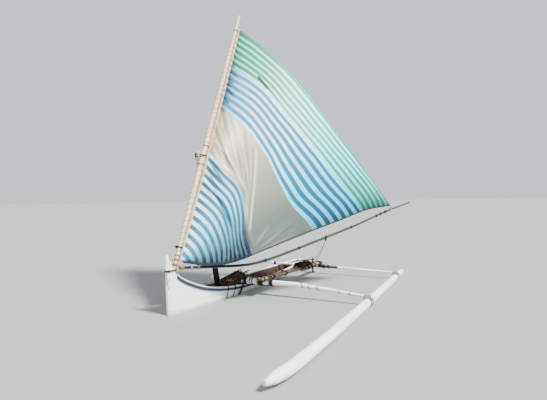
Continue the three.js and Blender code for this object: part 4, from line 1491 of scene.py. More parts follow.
    def clew(self) -> None:
        """Turns round the boom and strands up to the sail's corner."""
        boom, corner = self.spars.boom_at(0.893), at(*self.spars.clew)
        shell = Shell()
        shell.band(boom, 0.046, 5, self.rope)
        for k, spread in enumerate((-0.012, 0.0, 0.012)):
            a = boom.point + boom.direction * spread + unit(corner - boom.point) * (boom.radius + 0.004)
            b = corner + boom.direction * spread * 0.3
            middle = (a + b) / 2 + boom.direction * spread * 0.4 + (0.003 * (k - 1), 0, 0)
            shell.rope(spline([a, middle, b], 10), 0.0042)
        shell.piece("rope_clew_tie", Body.BOOM, self.ropes.tan, "clew_tie")

    def build(self) -> None:
        """Makes every lashing."""
        for make in (self.beams, self.side_poles, self.float_ties, self.mast_head, self.yard_heel, self.rudder,
                     self.jaw, self.clew):
            make()


@dataclass
class BeamRope:
    """Turns of dark rope on the beams and poles beyond the main lashings, and lines round the hull."""

    spars: Spars
    poles: BambooPoles
    rope: Coat
    wood: Coat
    beam_turns: tuple = (
        ((0.575, 0.07, 6.5, 0.0052), (0.8, 0.052, 5.2, 0.005), (0.435, 0.02, 2.2, 0.0045)),
        ((0.5, 0.05, 5.2, 0.0048), (0.905, 0.08, 7.5, 0.0052), (1.01, 0.03, 3.2, 0.0046)))
    pole_turns: tuple = ((1.475, 0.06, 5.5), (1.82, 0.036, 3.4), (2.3, 0.036, 3.3), (3.02, 0.03, 3.0),
                         (3.3, 0.06, 6.0), (3.46, 0.044, 4.4), (3.66, 0.06, 6.0), (4.02, 0.04, 4.2))
    spirals: tuple = ((1.32, 0.05, -0.9), (1.49, 0.05, 0.9), (1.63, 0.04, 0.8), (1.95, 0.05, -0.7), (2.15, 0.04, 0.8))
    hull_lines: tuple = ((1.604, 0.163, (0.875, 0.0, 0.483), 0.0118), (1.5795, 0.163, (0.875, 0.0, 0.483), 0.0118),
                         (1.168, 0.15, (1.0, 0.0, 0.05), 0.008), (1.356, 0.15, (1.0, 0.0, 0.1), 0.008))
    skin: tuple = ("hull_shell", "gunwale_cap_port", "gunwale_cap_starboard", "rub_rail_port", "rub_rail_starboard")
    layers: tuple = ((0.0, (-0.095, -0.055, -0.02, 0.018, 0.056, 0.094)),
                     (0.026, (-0.075, -0.036, 0.0, 0.037, 0.074)), (0.05, (-0.045, -0.008, 0.03)))
    sticks_s: float = 3.16
    stick_ties: tuple = ((2.98, 0.15), (3.12, -0.12), (3.34, 0.1))

    def beams(self) -> None:
        """Bands of turns along both beams, each with a slack turn and a knot."""
        for index, end in enumerate(ENDS):
            shell = Shell()
            for p, width, turns, radius in self.beam_turns[index]:
                bar = self.spars.beam(index, p)
                shell.band(bar, width, turns, radius, start=p)
                shell.wind([bar.grown(radius * 2)], bar.point, bar.direction + (0.06, 0, 0.03), width * 0.5, 1.6,
                           radius, radius * 0.9, start=2.0 + p)
                knot = bar.point + unit((0.75, 0.0, 0.66)) * (bar.radius + radius * 2.6)
                shell.knot(knot, (0, 1.0, 0.2), (-0.5, 0.2, 0.8), radius * 2.4, radius * 0.85)
            shell.piece(f"rope_bands_{end}", Body.HULL, self.rope)

    def bound_sticks(self) -> None:
        """Short dark sticks bound on top of the two poles ahead of the rear beam."""
        rng = np.random.default_rng(31)
        a, b = (sum(pair) / 2 for pair in zip(*(self.poles.ends(k) for k in (0, 1))))
        along = unit(b - a)
        front_s = BOW_X - a[0]
        top = self.poles.radius
        shell = Shell()
        t = np.linspace(-0.5, 0.5, 26)
        for rise, offsets in self.layers:
            for offset in offsets:
                radius = rng.uniform(0.01, 0.0145)
                yaw = rng.uniform(-0.07, 0.07)
                centre = a + along * ((self.sticks_s + rng.uniform(-0.05, 0.05)) - front_s)
                line = centre + (along + (0, yaw, 0)) * (t * rng.uniform(0.42, 0.58))[:, None]
                line[:, 1] += offset + 0.007 * np.sin(7 * t + rng.uniform(0, 6))
                line[:, 2] += top + rise + radius + 0.001 + 0.003 * np.sin(9 * t + rng.uniform(0, 6))
                gnarl = 0.9 + 0.1 * np.sin(19 * t + rng.uniform(0, 6))
                shell.tube(line, radius * gnarl, 9, spin=0.5 * t)
        shell.piece("pole_sticks", Body.HULL, self.wood)
        shell = Shell()
        for s, lean in self.stick_ties:
            centre = a + along * (s - front_s)
            bars = [Pole(centre + (0, p, z), along, radius) for p, z, radius in (
                (-0.105, 0.0, top), (0.105, 0.0, top), (-0.1, top + 0.014, 0.016), (0.1, top + 0.014, 0.016),
                (-0.045, top + 0.062, 0.016), (0.04, top + 0.062, 0.016))]
            shell.wind(bars, centre + UP * top, along + (0, lean, 0), 0.05, 4.5, 0.0062, start=s)
        shell.piece("rope_pole_sticks", Body.HULL, self.rope)

    def slanting_ties(self) -> None:
        """Thin slanting ties along the outer part of the front beam."""
        shell = Shell()
        for p, width, lean in self.spirals:
            bar = self.spars.beam(0, p)
            shell.wind([bar], bar.point, unit((lean, 1.0, 0.25)), width * 0.2, 1.1, 0.0042, 0.004, pace=1.6)
        shell.piece("rope_beam_ties", Body.HULL, self.rope)

    def on_poles(self) -> None:
        """Turns round the two bamboo poles together, thick towards the rear, with slack turns over them."""
        bars = [self.poles.bar(k) for k in (0, 1)]
        first = bars[0]
        shell = Shell()
        for s, width, turns in self.pole_turns:
            share = (BOW_X - first.point[0] - s) / first.direction[0]
            centre = sum(bar.point + bar.direction * share for bar in bars) / 2
            shell.wind(bars, centre, unit(first.direction), width, turns, 0.0048, start=s)
            shell.wind(bars, centre, unit(first.direction) + PORT * 0.25, width * 0.4, 1.3, 0.0138, 0.0042, start=1.0)
        shell.piece("rope_pole_bands", Body.HULL, self.rope)

    def round_hull(self) -> None:
        """Lines drawn tight right round the hull and its rails, ahead of the front beam."""
        shell = Shell()
        for s, z, normal, radius in self.hull_lines:
            shell.rope(girth(self.skin, at(s, 0.0, z), normal, radius + 0.0006), radius, closed=True)
        shell.piece("rope_round_hull", Body.HULL, self.rope)

    def build(self) -> None:
        """Makes all of it."""
        for make in (self.beams, self.bound_sticks, self.slanting_ties, self.on_poles, self.round_hull):
            make()


@dataclass
class Rigging:
    """The sheet, the boom's ties, the rope at the tack, the luff lacing and the ropes in the sail's edges."""

    spars: Spars
    poles: BambooPoles
    ropes: Ropes
    sail: "Sail"
    lacing_runs: tuple = ((0.82, 2.18), (2.48, 4.69))
    pitch: float = 0.092
    sheet_knot: float = 0.56
    sheet_ends: tuple = (3.3, 3.44)
    boom_bands: tuple = ((0.56, 0.026, 3.0), (0.815, 0.03, 4.0), (0.838, 0.022, 3.0), (0.865, 0.034, 4.5),
                         (0.3, 0.014, 2.0), (0.44, 0.014, 2.0), (0.68, 0.014, 2.0))
    tack_bands: tuple = ((0.76, 0.034, 3.6), (0.815, 0.018, 2.0))
    foot_bands: tuple = ((0.042, 0.03, 3.2), (0.062, 0.022, 2.4))
    knot_z: float = 0.93
    stem_lines: tuple = ((((-0.052, 0.024, 0.612), (-0.05, 0.0215, 0.52), (-0.038, 0.0215, 0.43),
                           (-0.024, 0.0225, 0.365)), 0.004),
                         (((0.052, 0.046, 0.606), (0.045, 0.03, 0.56), (0.01, 0.0215, 0.52),
                           (-0.03, 0.0215, 0.475)), 0.0036))

    def lacing(self) -> None:
        """Winds a line round the yard and through the luff in two runs, knotted at each end."""
        shell = Shell()
        axis, out = self.spars.yard_axis, self.spars.out
        side = np.cross(axis, out)
        for low, high in self.lacing_runs:
            turns = round((high - low) / axis[2] / self.pitch)
            share = np.linspace(0, 1, turns * 26 + 1)
            z = low + (high - low) * share
            angle = 2 * np.pi * turns * share
            reach = self.spars.yard_radius(z) + 0.005
            outward = (reach + 0.015 * np.clip(np.cos(angle), 0, 1)**2) * np.cos(angle)
            line = self.spars.on_yard(z) + out * outward[:, None] + side * (reach * np.sin(angle))[:, None]
            shell.rope(line, 0.0026, pace=2.2)
            for z_end in (low, high):
                bar = self.spars.yard_bar(z_end, 0.001)
                shell.band(bar, 0.018, 2.4, 0.0042, 0.004)
                shell.knot(bar.point + side * (bar.radius + 0.012), axis, out, 0.011, 0.004)
        shell.piece("luff_lacing", Body.BOOM, self.ropes.thread)

    def tack(self) -> None:
        """Wraps and knots that hold the sail's tack down to the yard and the boom's foot."""
        spars, axis, out = self.spars, self.spars.yard_axis, self.spars.out
        side = np.cross(axis, out)
        shell = Shell()
        for z, width, turns in self.tack_bands:
            bar = spars.yard_bar(z, 0.0012)
            shell.band(bar, width, turns, 0.0048, start=z)
            shell.knot(bar.point + unit(side + out * 0.4) * (bar.radius + 0.014), axis, out, 0.013, 0.0046)
        foot = spars.boom_at(0.045)
        down = spars.on_yard(0.765) + out * 0.048
        shell.rope(spline([down, (down + foot.point) / 2 + side * 0.012, foot.point + UP * (foot.radius + 0.004)], 8),
                   0.0042)
        shell.piece("rope_tack", Body.BOOM, self.ropes.tan)
        shell = Shell()
        bar = spars.yard_bar(self.knot_z, 0.0012)
        shell.band(bar, 0.026, 2.6, 0.0052)
        shell.knot(bar.point + unit(side * 0.4 - out) * (bar.radius + 0.018), axis, out, 0.02, 0.0072)
        shell.piece("rope_yard_knot", Body.BOOM, self.ropes.dark)
        shell = Shell()
        for share, width, turns in self.foot_bands:
            shell.band(spars.boom_at(share), width, turns, 0.0048)
        shell.knot(spars.on_yard(0.748) - out * 0.052 + side * 0.012, axis, side, 0.015, 0.0055)
        shell.piece("rope_boom_foot", Body.BOOM, self.ropes.grey)

    def boom_ties(self) -> None:
        """Dark bands of turns along the boom, the sheet's among them."""
        shell = Shell()
        for share, width, turns in self.boom_bands:
            shell.band(self.spars.boom_at(share), width, turns, 0.0046)
        bar = self.spars.boom_at(self.sheet_knot)
        shell.knot(bar.point - UP * (bar.radius + 0.016), bar.direction, UP, 0.019, 0.0065)
        shell.piece("rope_boom_ties", Body.BOOM, self.ropes.dark)

    def sheet(self) -> None:
        """Two parts of the sheet, taut from the boom to turns round the outer bamboo pole."""
        boom, pole = self.spars.boom_at(self.sheet_knot), self.poles.bar(1)
        lines, ties = Shell(), Shell()
        for k, s in enumerate(self.sheet_ends):
            centre = pole.point + pole.direction * ((BOW_X - pole.point[0] - s) / pole.direction[0])
            ties.wind([pole], centre, pole.direction, 0.028, 3.2, 0.0046, start=s)
            low = centre + (0, 0.006, self.poles.radius + 0.01)
            top = boom.point - UP * (boom.radius + 0.02) + boom.direction * (0.008 - 0.016 * k)
            sag = np.array((-0.01, 0.01, -0.05 - 0.035 * k))
            lines.rope(spline([low, low + (top - low) * 0.33 + sag * 0.9, low + (top - low) * 0.66 + sag, top], 14),
                       0.0054, pace=2.2)
        ties.piece("rope_sheet_ties", Body.HULL, self.ropes.dark)
        obj = lines.make("sheet_lines", self.ropes.dark)
        tuple(boom.point)
        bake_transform(obj)
        LOG.info("sheet_lines: %d faces from hull to boom", len(lines.faces))

    def edges(self) -> None:
        """Ropes sewn into the foot and the leech."""
        for name, line, radius, pace, coat in (
                ("rope_foot", self.sail.foot_edge[3:-2], 0.0062, 1.8, self.ropes.dark),
                ("rope_leech", self.sail.leech_edge[2:-2], 0.0032, 2.4, self.ropes.green)):
            shell = Shell()
            shell.rope(line, radius, pace=pace)
            shell.piece(name, Body.BOOM, coat)

    def stem_ropes(self) -> None:
        """Ends of the heel lashing, led down the stem's port side and knotted."""
        shell = Shell()
        for rows, radius in self.stem_lines:
            shell.rope(spline([at(*row) for row in rows], 10), radius)
        shell.knot(at(-0.03, 0.026, 0.628), AHEAD, UP, 0.015, 0.0055)
        shell.piece("rope_stem", Body.HULL, self.ropes.dark)

    def build(self) -> None:
        """Makes all of it."""
        for make in (self.lacing, self.tack, self.boom_ties, self.sheet, self.edges, self.stem_ropes):
            make()


@dataclass
class StickBundle:
    """Dark gnarled sticks heaped over the front beam and the port gunwale, tied down with rope."""

    spars: Spars
    tones: tuple[Coat, ...]
    rope: Coat
    names: tuple = ("stick_bundle_dark", "stick_bundle_rust", "stick_bundle_tan")
    order: tuple = (0, 1, 0, 0, 1, 2)
    slope: float = 0.135
    centre_s: float = 1.42
    tied: tuple = ((1.27, 0.2), (1.44, -0.12), (1.56, 0.08))
    layers: tuple = ((0.0, (0.228, 0.262, 0.296)), (0.034, (0.09, 0.13, 0.172, 0.214, 0.252, 0.288)),
                     (0.058, (0.08, 0.125, 0.17, 0.215, 0.258)), (0.082, (0.11, 0.16, 0.21)))

    def height(self, s: float, p: float) -> float:
        """Height of the heap's underside, which slopes down from the beam to the gunwale."""
        return self.spars.beam_top(0, p) - self.slope * (self.spars.beam_stations[0] - s)

    def sticks(self) -> None:
        """Makes the sticks in three tones."""
        rng = np.random.default_rng(23)
        shells = [Shell() for _ in self.tones]
        t = np.linspace(-0.5, 0.5, 30)
        count = 0
        for rise, places in self.layers:
            for p in places:
                radius = rng.uniform(0.0085, 0.014)
                length = rng.uniform(0.42, 0.66)
                yaw = math.radians(rng.uniform(-6, 6) + (7 if count % 2 else -7) * (rise > 0.04))
                middle = self.centre_s + rng.uniform(-0.06, 0.1)
                direction = unit(np.array((math.cos(yaw), math.sin(yaw), -self.slope)))
                line = at(middle, p, self.height(middle, p) + rise + radius + 0.001) + direction * (t * length)[:, None]
                line[:, 1] += 0.006 * np.sin(6 * t + rng.uniform(0, 6))
                line[:, 2] += 0.004 * np.sin(8 * t + rng.uniform(0, 6)) * (rise > 0)
                gnarl = 0.9 + 0.1 * np.sin(17 * t + rng.uniform(0, 6)) * np.cos(5 * t)
                shells[self.order[count % 6]].tube(line, radius * gnarl * (0.875 - 0.25 * t), 9, spin=0.6 * t)
                count += 1
        for shell, tone, name in zip(shells, self.tones, self.names):
            shell.piece(name, Body.HULL, tone)

    def ties(self) -> None:
        """Winds and knots rope round the heap at three places."""
        shell = Shell()
        for s, lean in self.tied:
            bars = [Pole(at(s, p, self.height(s, p) + up), AHEAD, radius) for p, up, radius in (
                (0.08, 0.054, 0.018), (0.298, 0.016, 0.018), (0.145, 0.1, 0.016), (0.225, 0.096, 0.016))]
            shell.wind(bars, at(s, 0.19, self.height(s, 0.19) + 0.05), AHEAD + PORT * lean, 0.03, 3.0, 0.0062, start=s)
            shell.knot(at(s, 0.185, self.height(s, 0.185) + 0.128), AHEAD, (0, 0.5, 1.0), 0.017, 0.0066)
        shell.piece("rope_stick_bundle", Body.HULL, self.rope)

    def build(self) -> None:
        """Makes the sticks, then the rope round them."""
        self.sticks()
        self.ties()


@dataclass
class PackingSticks:
    """Short irregular sticks packed over the front beam beside the port gunwale."""

    spars: Spars
    wood: Coat
    rows: tuple = ((0.11, 4, 0.017, 0.42), (0.142, -3, 0.018, 0.4), (0.175, 2, 0.016, 0.42))
    centre_s: float = 1.61

    def build(self) -> None:
        """Makes the sticks as gnarled poles."""
        shell = Shell()
        rng = np.random.default_rng(7)
        t = np.linspace(-0.5, 0.5, 26)
        for p, turn, radius, length in self.rows:
            line = at(self.centre_s, p, self.spars.beam_top(0, p) + radius) + heading(turn) * (t * length)[:, None]
            line[:, 1] += 0.002 * np.sin(7 * t + rng.uniform(0, 6))
            shell.tube(line, radius * (0.93 + 0.05 * np.sin(11 * t + rng.uniform(0, 6))), 11)
        shell.piece("short_sticks", Body.HULL, self.wood, "packing_sticks")


@dataclass(frozen=True)
class Fold:
    """A roll or crease in the cloth, drawn in metres out from the yard and up along it."""

    line: tuple
    height: float
    left: float
    right: float
    fade: float = 0.3


@dataclass(frozen=True)
class Crease:
    """A line of the cloth that lies in shade, or catches the light where shade is below 0."""

    line: tuple
    shade: float
    width: float
    fade: float = 0.25


@dataclass
class Sail:
    """The striped sail, laid out on rows that follow its stripes from the luff to the foot."""

    spars: Spars
    cloth: Coat
    head_z: float = 4.74
    belly: float = 0.38
    gap: float = 0.021
    rows: int = 236
    columns: int = 200
    first_row: float = 0.35
    stripes: float = SailFinish.count
    tape: float = 0.014
    thickness: float = 0.0014
    flat: tuple = (3.67, 4.37)
    foot_roach: Table = ((0, 0), (0.05, 0.08), (0.12, 0.19), (0.22, 0.25), (0.35, 0.19), (0.5, 0.115), (0.7, 0.03),
                         (0.85, -0.035), (1, 0))
    leech_roach: Table = ((0, 0), (0.1, 0.105), (0.28, 0.203), (0.4, 0.185), (0.55, 0.115), (0.8, 0.018),
                          (0.9, -0.01), (1, 0))
    luff_rows: Table = ((0, 0), (1, 0.033), (4, 0.132), (12, 0.396), (12.7, 0.42), (20, 0.62), (21, 0.641),
                        (26, 0.79), (27.5, 0.8325), (32.5, 0.985), (33, 1))
    foot_rows: Table = ((0, 0), (1, 0.043), (4, 0.133), (12, 0.28), (12.7, 0.29), (20, 0.553), (21, 0.592),
                        (26, 0.799), (27.5, 0.835), (32.5, 0.988), (33, 1))
    bulges: tuple = ((0, 0, 0, 0, 0), (4, 0.004, 0.009, 0.011, 0.009), (7, 0.014, 0.022, 0.021, 0.016),
                     (12.7, 0.012, 0.03, 0.003, -0.022), (20, 0.01, -0.004, -0.038, -0.049),
                     (21, 0.013, -0.014, -0.052, -0.058), (26.7, 0.029, -0.003, -0.028, -0.036), (33, 0, 0, 0, 0))
    folds: tuple = (
        Fold(((0.66, 2.45), (0.701, 2.158), (0.803, 1.484), (0.902, 0.848), (1.05, 0.4)), 0.026, 0.016, 0.11, 0.12),
        Fold(((0.049, 2.134), (0.367, 1.76), (0.607, 1.43), (0.732, 1.254), (0.88, 0.95)), 0.02, 0.022, 0.06),
        Fold(((0.06, 1.895), (0.28, 1.644), (0.506, 1.505), (0.66, 1.3)), 0.014, 0.02, 0.04),
        Fold(((0.194, 2.165), (0.437, 1.815), (0.62, 1.5)), 0.012, 0.016, 0.035),
        Fold(((0.202, 2.268), (0.467, 1.816), (0.7, 1.45)), 0.012, 0.016, 0.03),
        Fold(((0.34, 2.5), (0.56, 1.95), (0.74, 1.45), (0.86, 1.05)), 0.012, 0.02, 0.045),
        Fold(((1.1, 0.4), (1.174, 0.561), (1.292, 0.69), (1.482, 0.873), (1.736, 1.077)), 0.016, 0.07, 0.03),
        Fold(((1.11, 0.38), (1.325, 0.569), (1.55, 0.75), (1.782, 0.928)), 0.014, 0.06, 0.03),
        Fold(((1.08, 0.45), (1.13, 0.8), (1.25, 1.15), (1.45, 1.5)), 0.01, 0.1, 0.06),
    )
    stripe_folds: tuple = (
        Fold(((14.7, 0.0), (14.2, 0.187), (13.1, 0.37), (13.0, 0.48), (12.8, 0.75), (12.8, 0.97)), 0.022, 0.05,
             0.022, 0.08),
        Fold(((11.9, 0.0), (12.0, 0.12), (12.2, 0.25)), -0.018, 0.025, 0.02),
        Fold(((11.0, 0.0), (10.6, 0.13), (10.5, 0.26)), -0.02, 0.025, 0.02),
        Fold(((10.3, 0.0), (9.35, 0.216), (8.8, 0.345), (8.83, 0.527), (9.4, 0.69), (9.9, 0.8)), -0.022, 0.022, 0.03),
        Fold(((9.6, 0.0), (8.6, 0.2), (8.0, 0.35)), 0.012, 0.03, 0.03),
        Fold(((27.9, 0.13), (27.7, 0.193), (27.5, 0.26)), -0.02, 0.02, 0.025),
        Fold(((25.5, 0.0), (25.3, 0.1), (25.0, 0.22)), -0.014, 0.02, 0.03),
    )
    creases: tuple = (
        Crease(((0.18, 2.094), (0.274, 1.905), (0.363, 1.743), (0.461, 1.614), (0.56, 1.48)), 0.62, 0.02),
        Crease(((0.697, 2.142), (0.757, 1.835), (0.815, 1.463), (0.869, 1.059), (0.93, 0.66)), 0.62, 0.017, 0.1),
        Crease(((0.058, 2.049), (0.207, 1.855), (0.389, 1.659), (0.606, 1.378)), 0.45, 0.016),
        Crease(((0.48, 2.043), (0.567, 1.7), (0.702, 1.299), (0.839, 0.921)), 0.34, 0.02),
        Crease(((0.562, 2.026), (0.642, 1.718), (0.78, 1.235)), 0.34, 0.016),
        Crease(((0.02, 2.15), (0.159, 1.937), (0.348, 1.704), (0.562, 1.436), (0.655, 1.31)), -0.95, 0.026, 0.15),
        Crease(((0.06, 1.965), (0.243, 1.762), (0.422, 1.578), (0.615, 1.355)), -0.8, 0.02),
        Crease(((0.739, 2.143), (0.808, 1.758), (0.859, 1.338), (0.907, 0.939), (0.94, 0.64)), -0.62, 0.024, 0.1),
        Crease(((0.428, 1.802), (0.621, 1.45), (0.779, 1.069), (0.887, 0.757)), -0.55, 0.03),
        Crease(((1.1, 0.4), (1.242, 0.58), (1.4, 0.77), (1.581, 0.96)), -0.24, 0.014, 0.4),
        Crease(((1.06, 0.43), (1.14, 0.64), (1.25, 0.9)), -0.18, 0.014, 0.4),
        Crease(((1.14, 0.392), (1.42, 0.5), (1.72, 0.66), (2.02, 0.85)), -0.2, 0.012, 0.4),
        Crease(((1.12, 0.405), (1.29, 0.57), (1.48, 0.76)), 0.22, 0.014, 0.4),
        Crease(((1.14, 0.41), (1.338, 0.559), (1.56, 0.73), (1.774, 0.903)), -0.26, 0.013, 0.4),
        Crease(((0.212, 2.268), (0.401, 2.119), (0.588, 1.976)), -0.7, 0.11, 0.5),
        Crease(((0.05, 1.725), (0.213, 1.55), (0.364, 1.391), (0.48, 1.26)), 0.95, 0.024, 0.4),
        Crease(((0.04, 1.585), (0.202, 1.399), (0.364, 1.22), (0.45, 1.12)), 0.95, 0.018, 0.4),
        Crease(((0.06, 1.33), (0.194, 1.234), (0.356, 1.092), (0.543, 0.849), (0.656, 0.7), (0.76, 0.575)), 0.95,
               0.025, 0.3),
    )
    strokes: tuple = ((2.74, 0.16, 0.9), (2.83, 0.1, 0.75), (2.94, 0.19, 0.95), (3.05, 0.12, 0.85),
                      (3.14, 0.22, 0.95), (3.24, 0.13, 0.85), (3.33, 0.17, 0.9), (3.43, 0.1, 0.7),
                      (3.52, 0.2, 0.6), (3.63, 0.13, 0.7), (3.73, 0.24, 0.6), (3.84, 0.14, 0.7),
                      (3.96, 0.2, 0.55), (4.09, 0.12, 0.5))

    def __post_init__(self) -> None:
        """Settles the directions that the cloth is drawn in."""
        self.clew = at(*self.spars.clew)
        self.tack_z = self.spars.tack_z
        self.tack = self.spars.on_yard(self.tack_z)
        self.axis = self.spars.yard_axis
        self.out = self.spars.out
        normal = unit(np.cross(self.out, self.axis))
        self.normal = normal if normal[0] > 0 else -normal

    def point(self, along: np.ndarray, across: np.ndarray) -> np.ndarray:
        """The solid's middle surface.

        Args:
            along: share from foot to leech.
            across: share from luff to clew.

        Returns:
            Points.
        """
        z = self.tack_z + (self.head_z - self.tack_z) * along
        luff = self.spars.on_yard(z) + self.out * (self.spars.yard_radius(z) + self.gap)[..., None]
        bow = np.sin(np.pi * np.clip(across, 0, 1))
        foot, leech = np.maximum(0, 1 - along * 5)**2, np.maximum(0, along * 4 - 3)**2
        depth = self.belly * bow**0.9 * (0.35 + 0.65 * np.sin(np.pi * np.clip(along, 0, 1))**0.8)
        roach = read(self.leech_roach, across) * leech - read(self.foot_roach, across) * foot
        share = across[..., None]
        return luff * (1 - share) + self.clew * share + self.normal * depth[..., None] + self.axis * roach[..., None]

    def spread(self, u: np.ndarray, w: np.ndarray) -> tuple[np.ndarray, np.ndarray]:
        """Places points of the stripes on the sail.

        Args:
            u: stripe.
            w: share from luff to foot.

        Returns:
            Shares along, from foot to leech, and across, from luff to clew.
        """
        knots = np.array([row[0] for row in self.bulges])
        values = np.array([row[1:] for row in self.bulges])
        stops = np.array((0, 0.2, 0.4, 0.6, 0.8, 1.0))
        heights = [np.zeros_like(u)] + [np.interp(u, knots, values[:, k]) for k in range(4)] + [np.zeros_like(u)]
        inside = np.clip(w, 0, 1)
        cell = np.clip((inside / 0.2).astype(int), 0, 4)
        t = (inside - stops[cell]) / 0.2
        stack = np.stack(heights)

        def pick(k: np.ndarray) -> np.ndarray:
            """Bulge at the k-th stop."""
            return np.take_along_axis(stack, np.clip(k, 0, 5)[None], 0)[0]

        a, b = pick(cell), pick(cell + 1)
        ga = (pick(cell + 1) - pick(cell - 1)) / np.where(cell > 0, 2, 1)
        gb = (pick(cell + 2) - pick(cell)) / np.where(cell < 4, 2, 1)
        bulge = a + ga * t + (3 * (b - a) - 2 * ga - gb) * t**2 + (2 * (a - b) + ga + gb) * t**3
        rise = (np.interp(u, *np.array(self.luff_rows).T) * (1 - inside)
                + np.interp(u, *np.array(self.foot_rows).T) * inside + bulge)
        across = inside * rise
        return rise * (1 - inside) / np.maximum(1 - across, 1e-6), across

    def build(self) -> None:
        u, w = np.meshgrid(np.linspace(self.first_row, self.stripes, self.rows), np.linspace(0, 1, self.columns),
                           indexing="ij")
        points = self.point(*self.spread(u, w))
        chart = points - self.tack
        x, y = chart @ self.out, chart @ self.axis
        points = points + self.normal * self.relief(u, w, x, y)[..., None]
        self.foot_edge, self.leech_edge = points[:, -1], points[-1]

        def taped(part: np.ndarray, step: np.ndarray | float = 0.0) -> np.ndarray:
            """The part with a first column for the tape along the luff."""
            return np.concatenate((part[:, :1] + step, part), axis=1)

        dark, pale = (taped(part) for part in self.shades(x, y))
        length = np.sum(np.linalg.norm(np.diff(points, axis=1), axis=2), axis=1)[:, None]
        points, u, w = taped(points, -self.out * self.tape), taped(u), taped(w, -0.02)
        x, y = taped(x, -self.tape), taped(y)
        index = np.arange(u.size).reshape(u.shape)
        faces = np.stack((index[:-1, :-1], index[:-1, 1:], index[1:, 1:], index[1:, :-1]), -1).reshape(-1, 4)
        layers = {name: np.stack((first.ravel()[faces.ravel()], second.ravel()[faces.ravel()]), -1)
                  for name, first, second in (("stripe", u / self.stripes, w), ("cloth", x, y),
                                              ("edge", w * length, (1 - w) * length), ("shade", dark, pale))}
        obj = make_object("sail_cloth", points.reshape(-1, 3), faces.tolist(), layers, self.cloth)
        thick = obj.modifiers.new("cloth_thickness", "SOLIDIFY")
        thick.thickness, thick.offset = self.thickness, 0.0
        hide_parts("sail")
        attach(obj, Body.BOOM.value)

    def relief(self, u: np.ndarray, w: np.ndarray, x: np.ndarray, y: np.ndarray) -> np.ndarray:
        """Height of folds and pleats over the smooth surface.

        Args:
            u: stripe.
            w: share from luff to foot.
            x: metres out from the yard.
            y: metres up along it from the tack.

        Returns:
            Heights in metres, towards the sail's full side.
        """
        high = np.clip((u - 18) / 6, 0, 1)
        low = np.clip((12 - u) / 5, 0, 1)
        length = 1.1 + 0.09 * u
        out, foot = w * length, (1 - w) * length
        height = np.cos(2 * np.pi * (u - 0.12)) * (0.013 * high + 0.004 * low) * np.exp(-(out / 0.24)**1.2)
        gather = np.clip((u - 5) / 3, 0, 1) * np.clip((13 - u) / 1.5, 0, 1)
        height += 0.007 * np.cos(2 * np.pi * u) * gather * np.exp(-foot / 0.3)
        clew = np.clip((u - 26) / 2, 0, 1) * np.exp(-foot / 0.5)
        height += 0.01 * np.cos(2 * np.pi * (u - 0.5)) * clew
        kx, ky = SailFinish.fan
        angle, away = np.arctan2(y - ky, x - kx), np.hypot(x - kx, y - ky)
        middle = np.clip((u - 12.7) / 1.5, 0, 1) * np.clip((20.5 - u) / 1.5, 0, 1)
        left = np.clip((angle - math.radians(97)) / 0.1, 0, 1)
        for count, size, phase in ((97, 0.0034, 0.4), (151, 0.0024, 1.9), (61, 0.003, 4.0)):
            height += size * np.sin(count * angle + phase) * middle * np.clip(away - 0.5, 0, 1.4) * (0.25 + left)
        for fold in self.folds:
            height += self.roll(fold, x, y)
        for fold in self.stripe_folds:
            along, across = self.spread(*np.array(fold.line).T)
            chart = self.point(along, across) - self.tack
            line = tuple(zip(chart @ self.out, chart @ self.axis))
            height += self.roll(Fold(line, fold.height, fold.left, fold.right, fold.fade), x, y)
        body = 0.005 * np.sin(5.1 * x + 2.3 * y + 0.4) + 0.003 * np.sin(9.0 * x - 4.0 * y + 1.1)
        return height + body * np.sin(np.pi * np.clip(w, 0, 1)) ** 0.5

    def shades(self, x: np.ndarray, y: np.ndarray) -> list[np.ndarray]:
        """Marks the creases and the puckers at the luff.

        Args:
            x: metres out from the yard.
            y: metres up along it from the tack.

        Returns:
            How far each place lies in shade, and how far it catches the light, from 0 to 1.
        """
        dark, pale = np.zeros_like(x), np.zeros_like(x)
        puckers = [Crease(((-0.02, up), (reach * 0.5, up - reach * 0.36), (reach * 1.25, up - reach * 1.05)), shade,
                          0.026, 0.35) for up, reach, shade in self.strokes]
        for crease in (*self.creases, *puckers):
            mark = self.roll(Fold(crease.line, abs(crease.shade), crease.width, crease.width, crease.fade), x, y)
            if crease.shade > 0:
                dark = np.maximum(dark, mark)
            else:
                pale = np.maximum(pale, mark)
        return [dark, pale]

    @staticmethod
    def roll(fold: Fold, x: np.ndarray, y: np.ndarray) -> np.ndarray:
        """Height that one fold adds, steep or gentle on either side as the fold says.

        Args:
            fold: the fold.
            x: metres out from the yard.
            y: metres up along it from the tack.

        Returns:
            The height at each place.
        """
        line = resample(spline([(a, b, 0) for a, b in fold.line], 6), 0.03)[:, :2]
        start, step = line[:-1], np.diff(line, axis=0)
        flat = np.stack((x.ravel(), y.ravel()), 1)
        best = np.full(len(flat), 1e9)
        side = np.zeros(len(flat))
        share = np.zeros(len(flat))
        for i, (a, d) in enumerate(zip(start, step)):
            rel = flat - a
            t = np.clip(rel @ d / (d @ d), 0, 1)
            gap = rel - t[:, None] * d
            distance = np.hypot(gap[:, 0], gap[:, 1])
            closer = distance < best
            best[closer] = distance[closer]
            side[closer] = np.sign(d[0] * rel[closer, 1] - d[1] * rel[closer, 0])
            share[closer] = (i + t[closer]) / len(start)
        width = np.where(side > 0, fold.left, fold.right)
        ends = np.clip(np.minimum(share, 1 - share) / fold.fade, 0, 1)
        return (fold.height * np.exp(-(best / width)**2) * (ends * ends * (3 - 2 * ends))).reshape(x.shape)


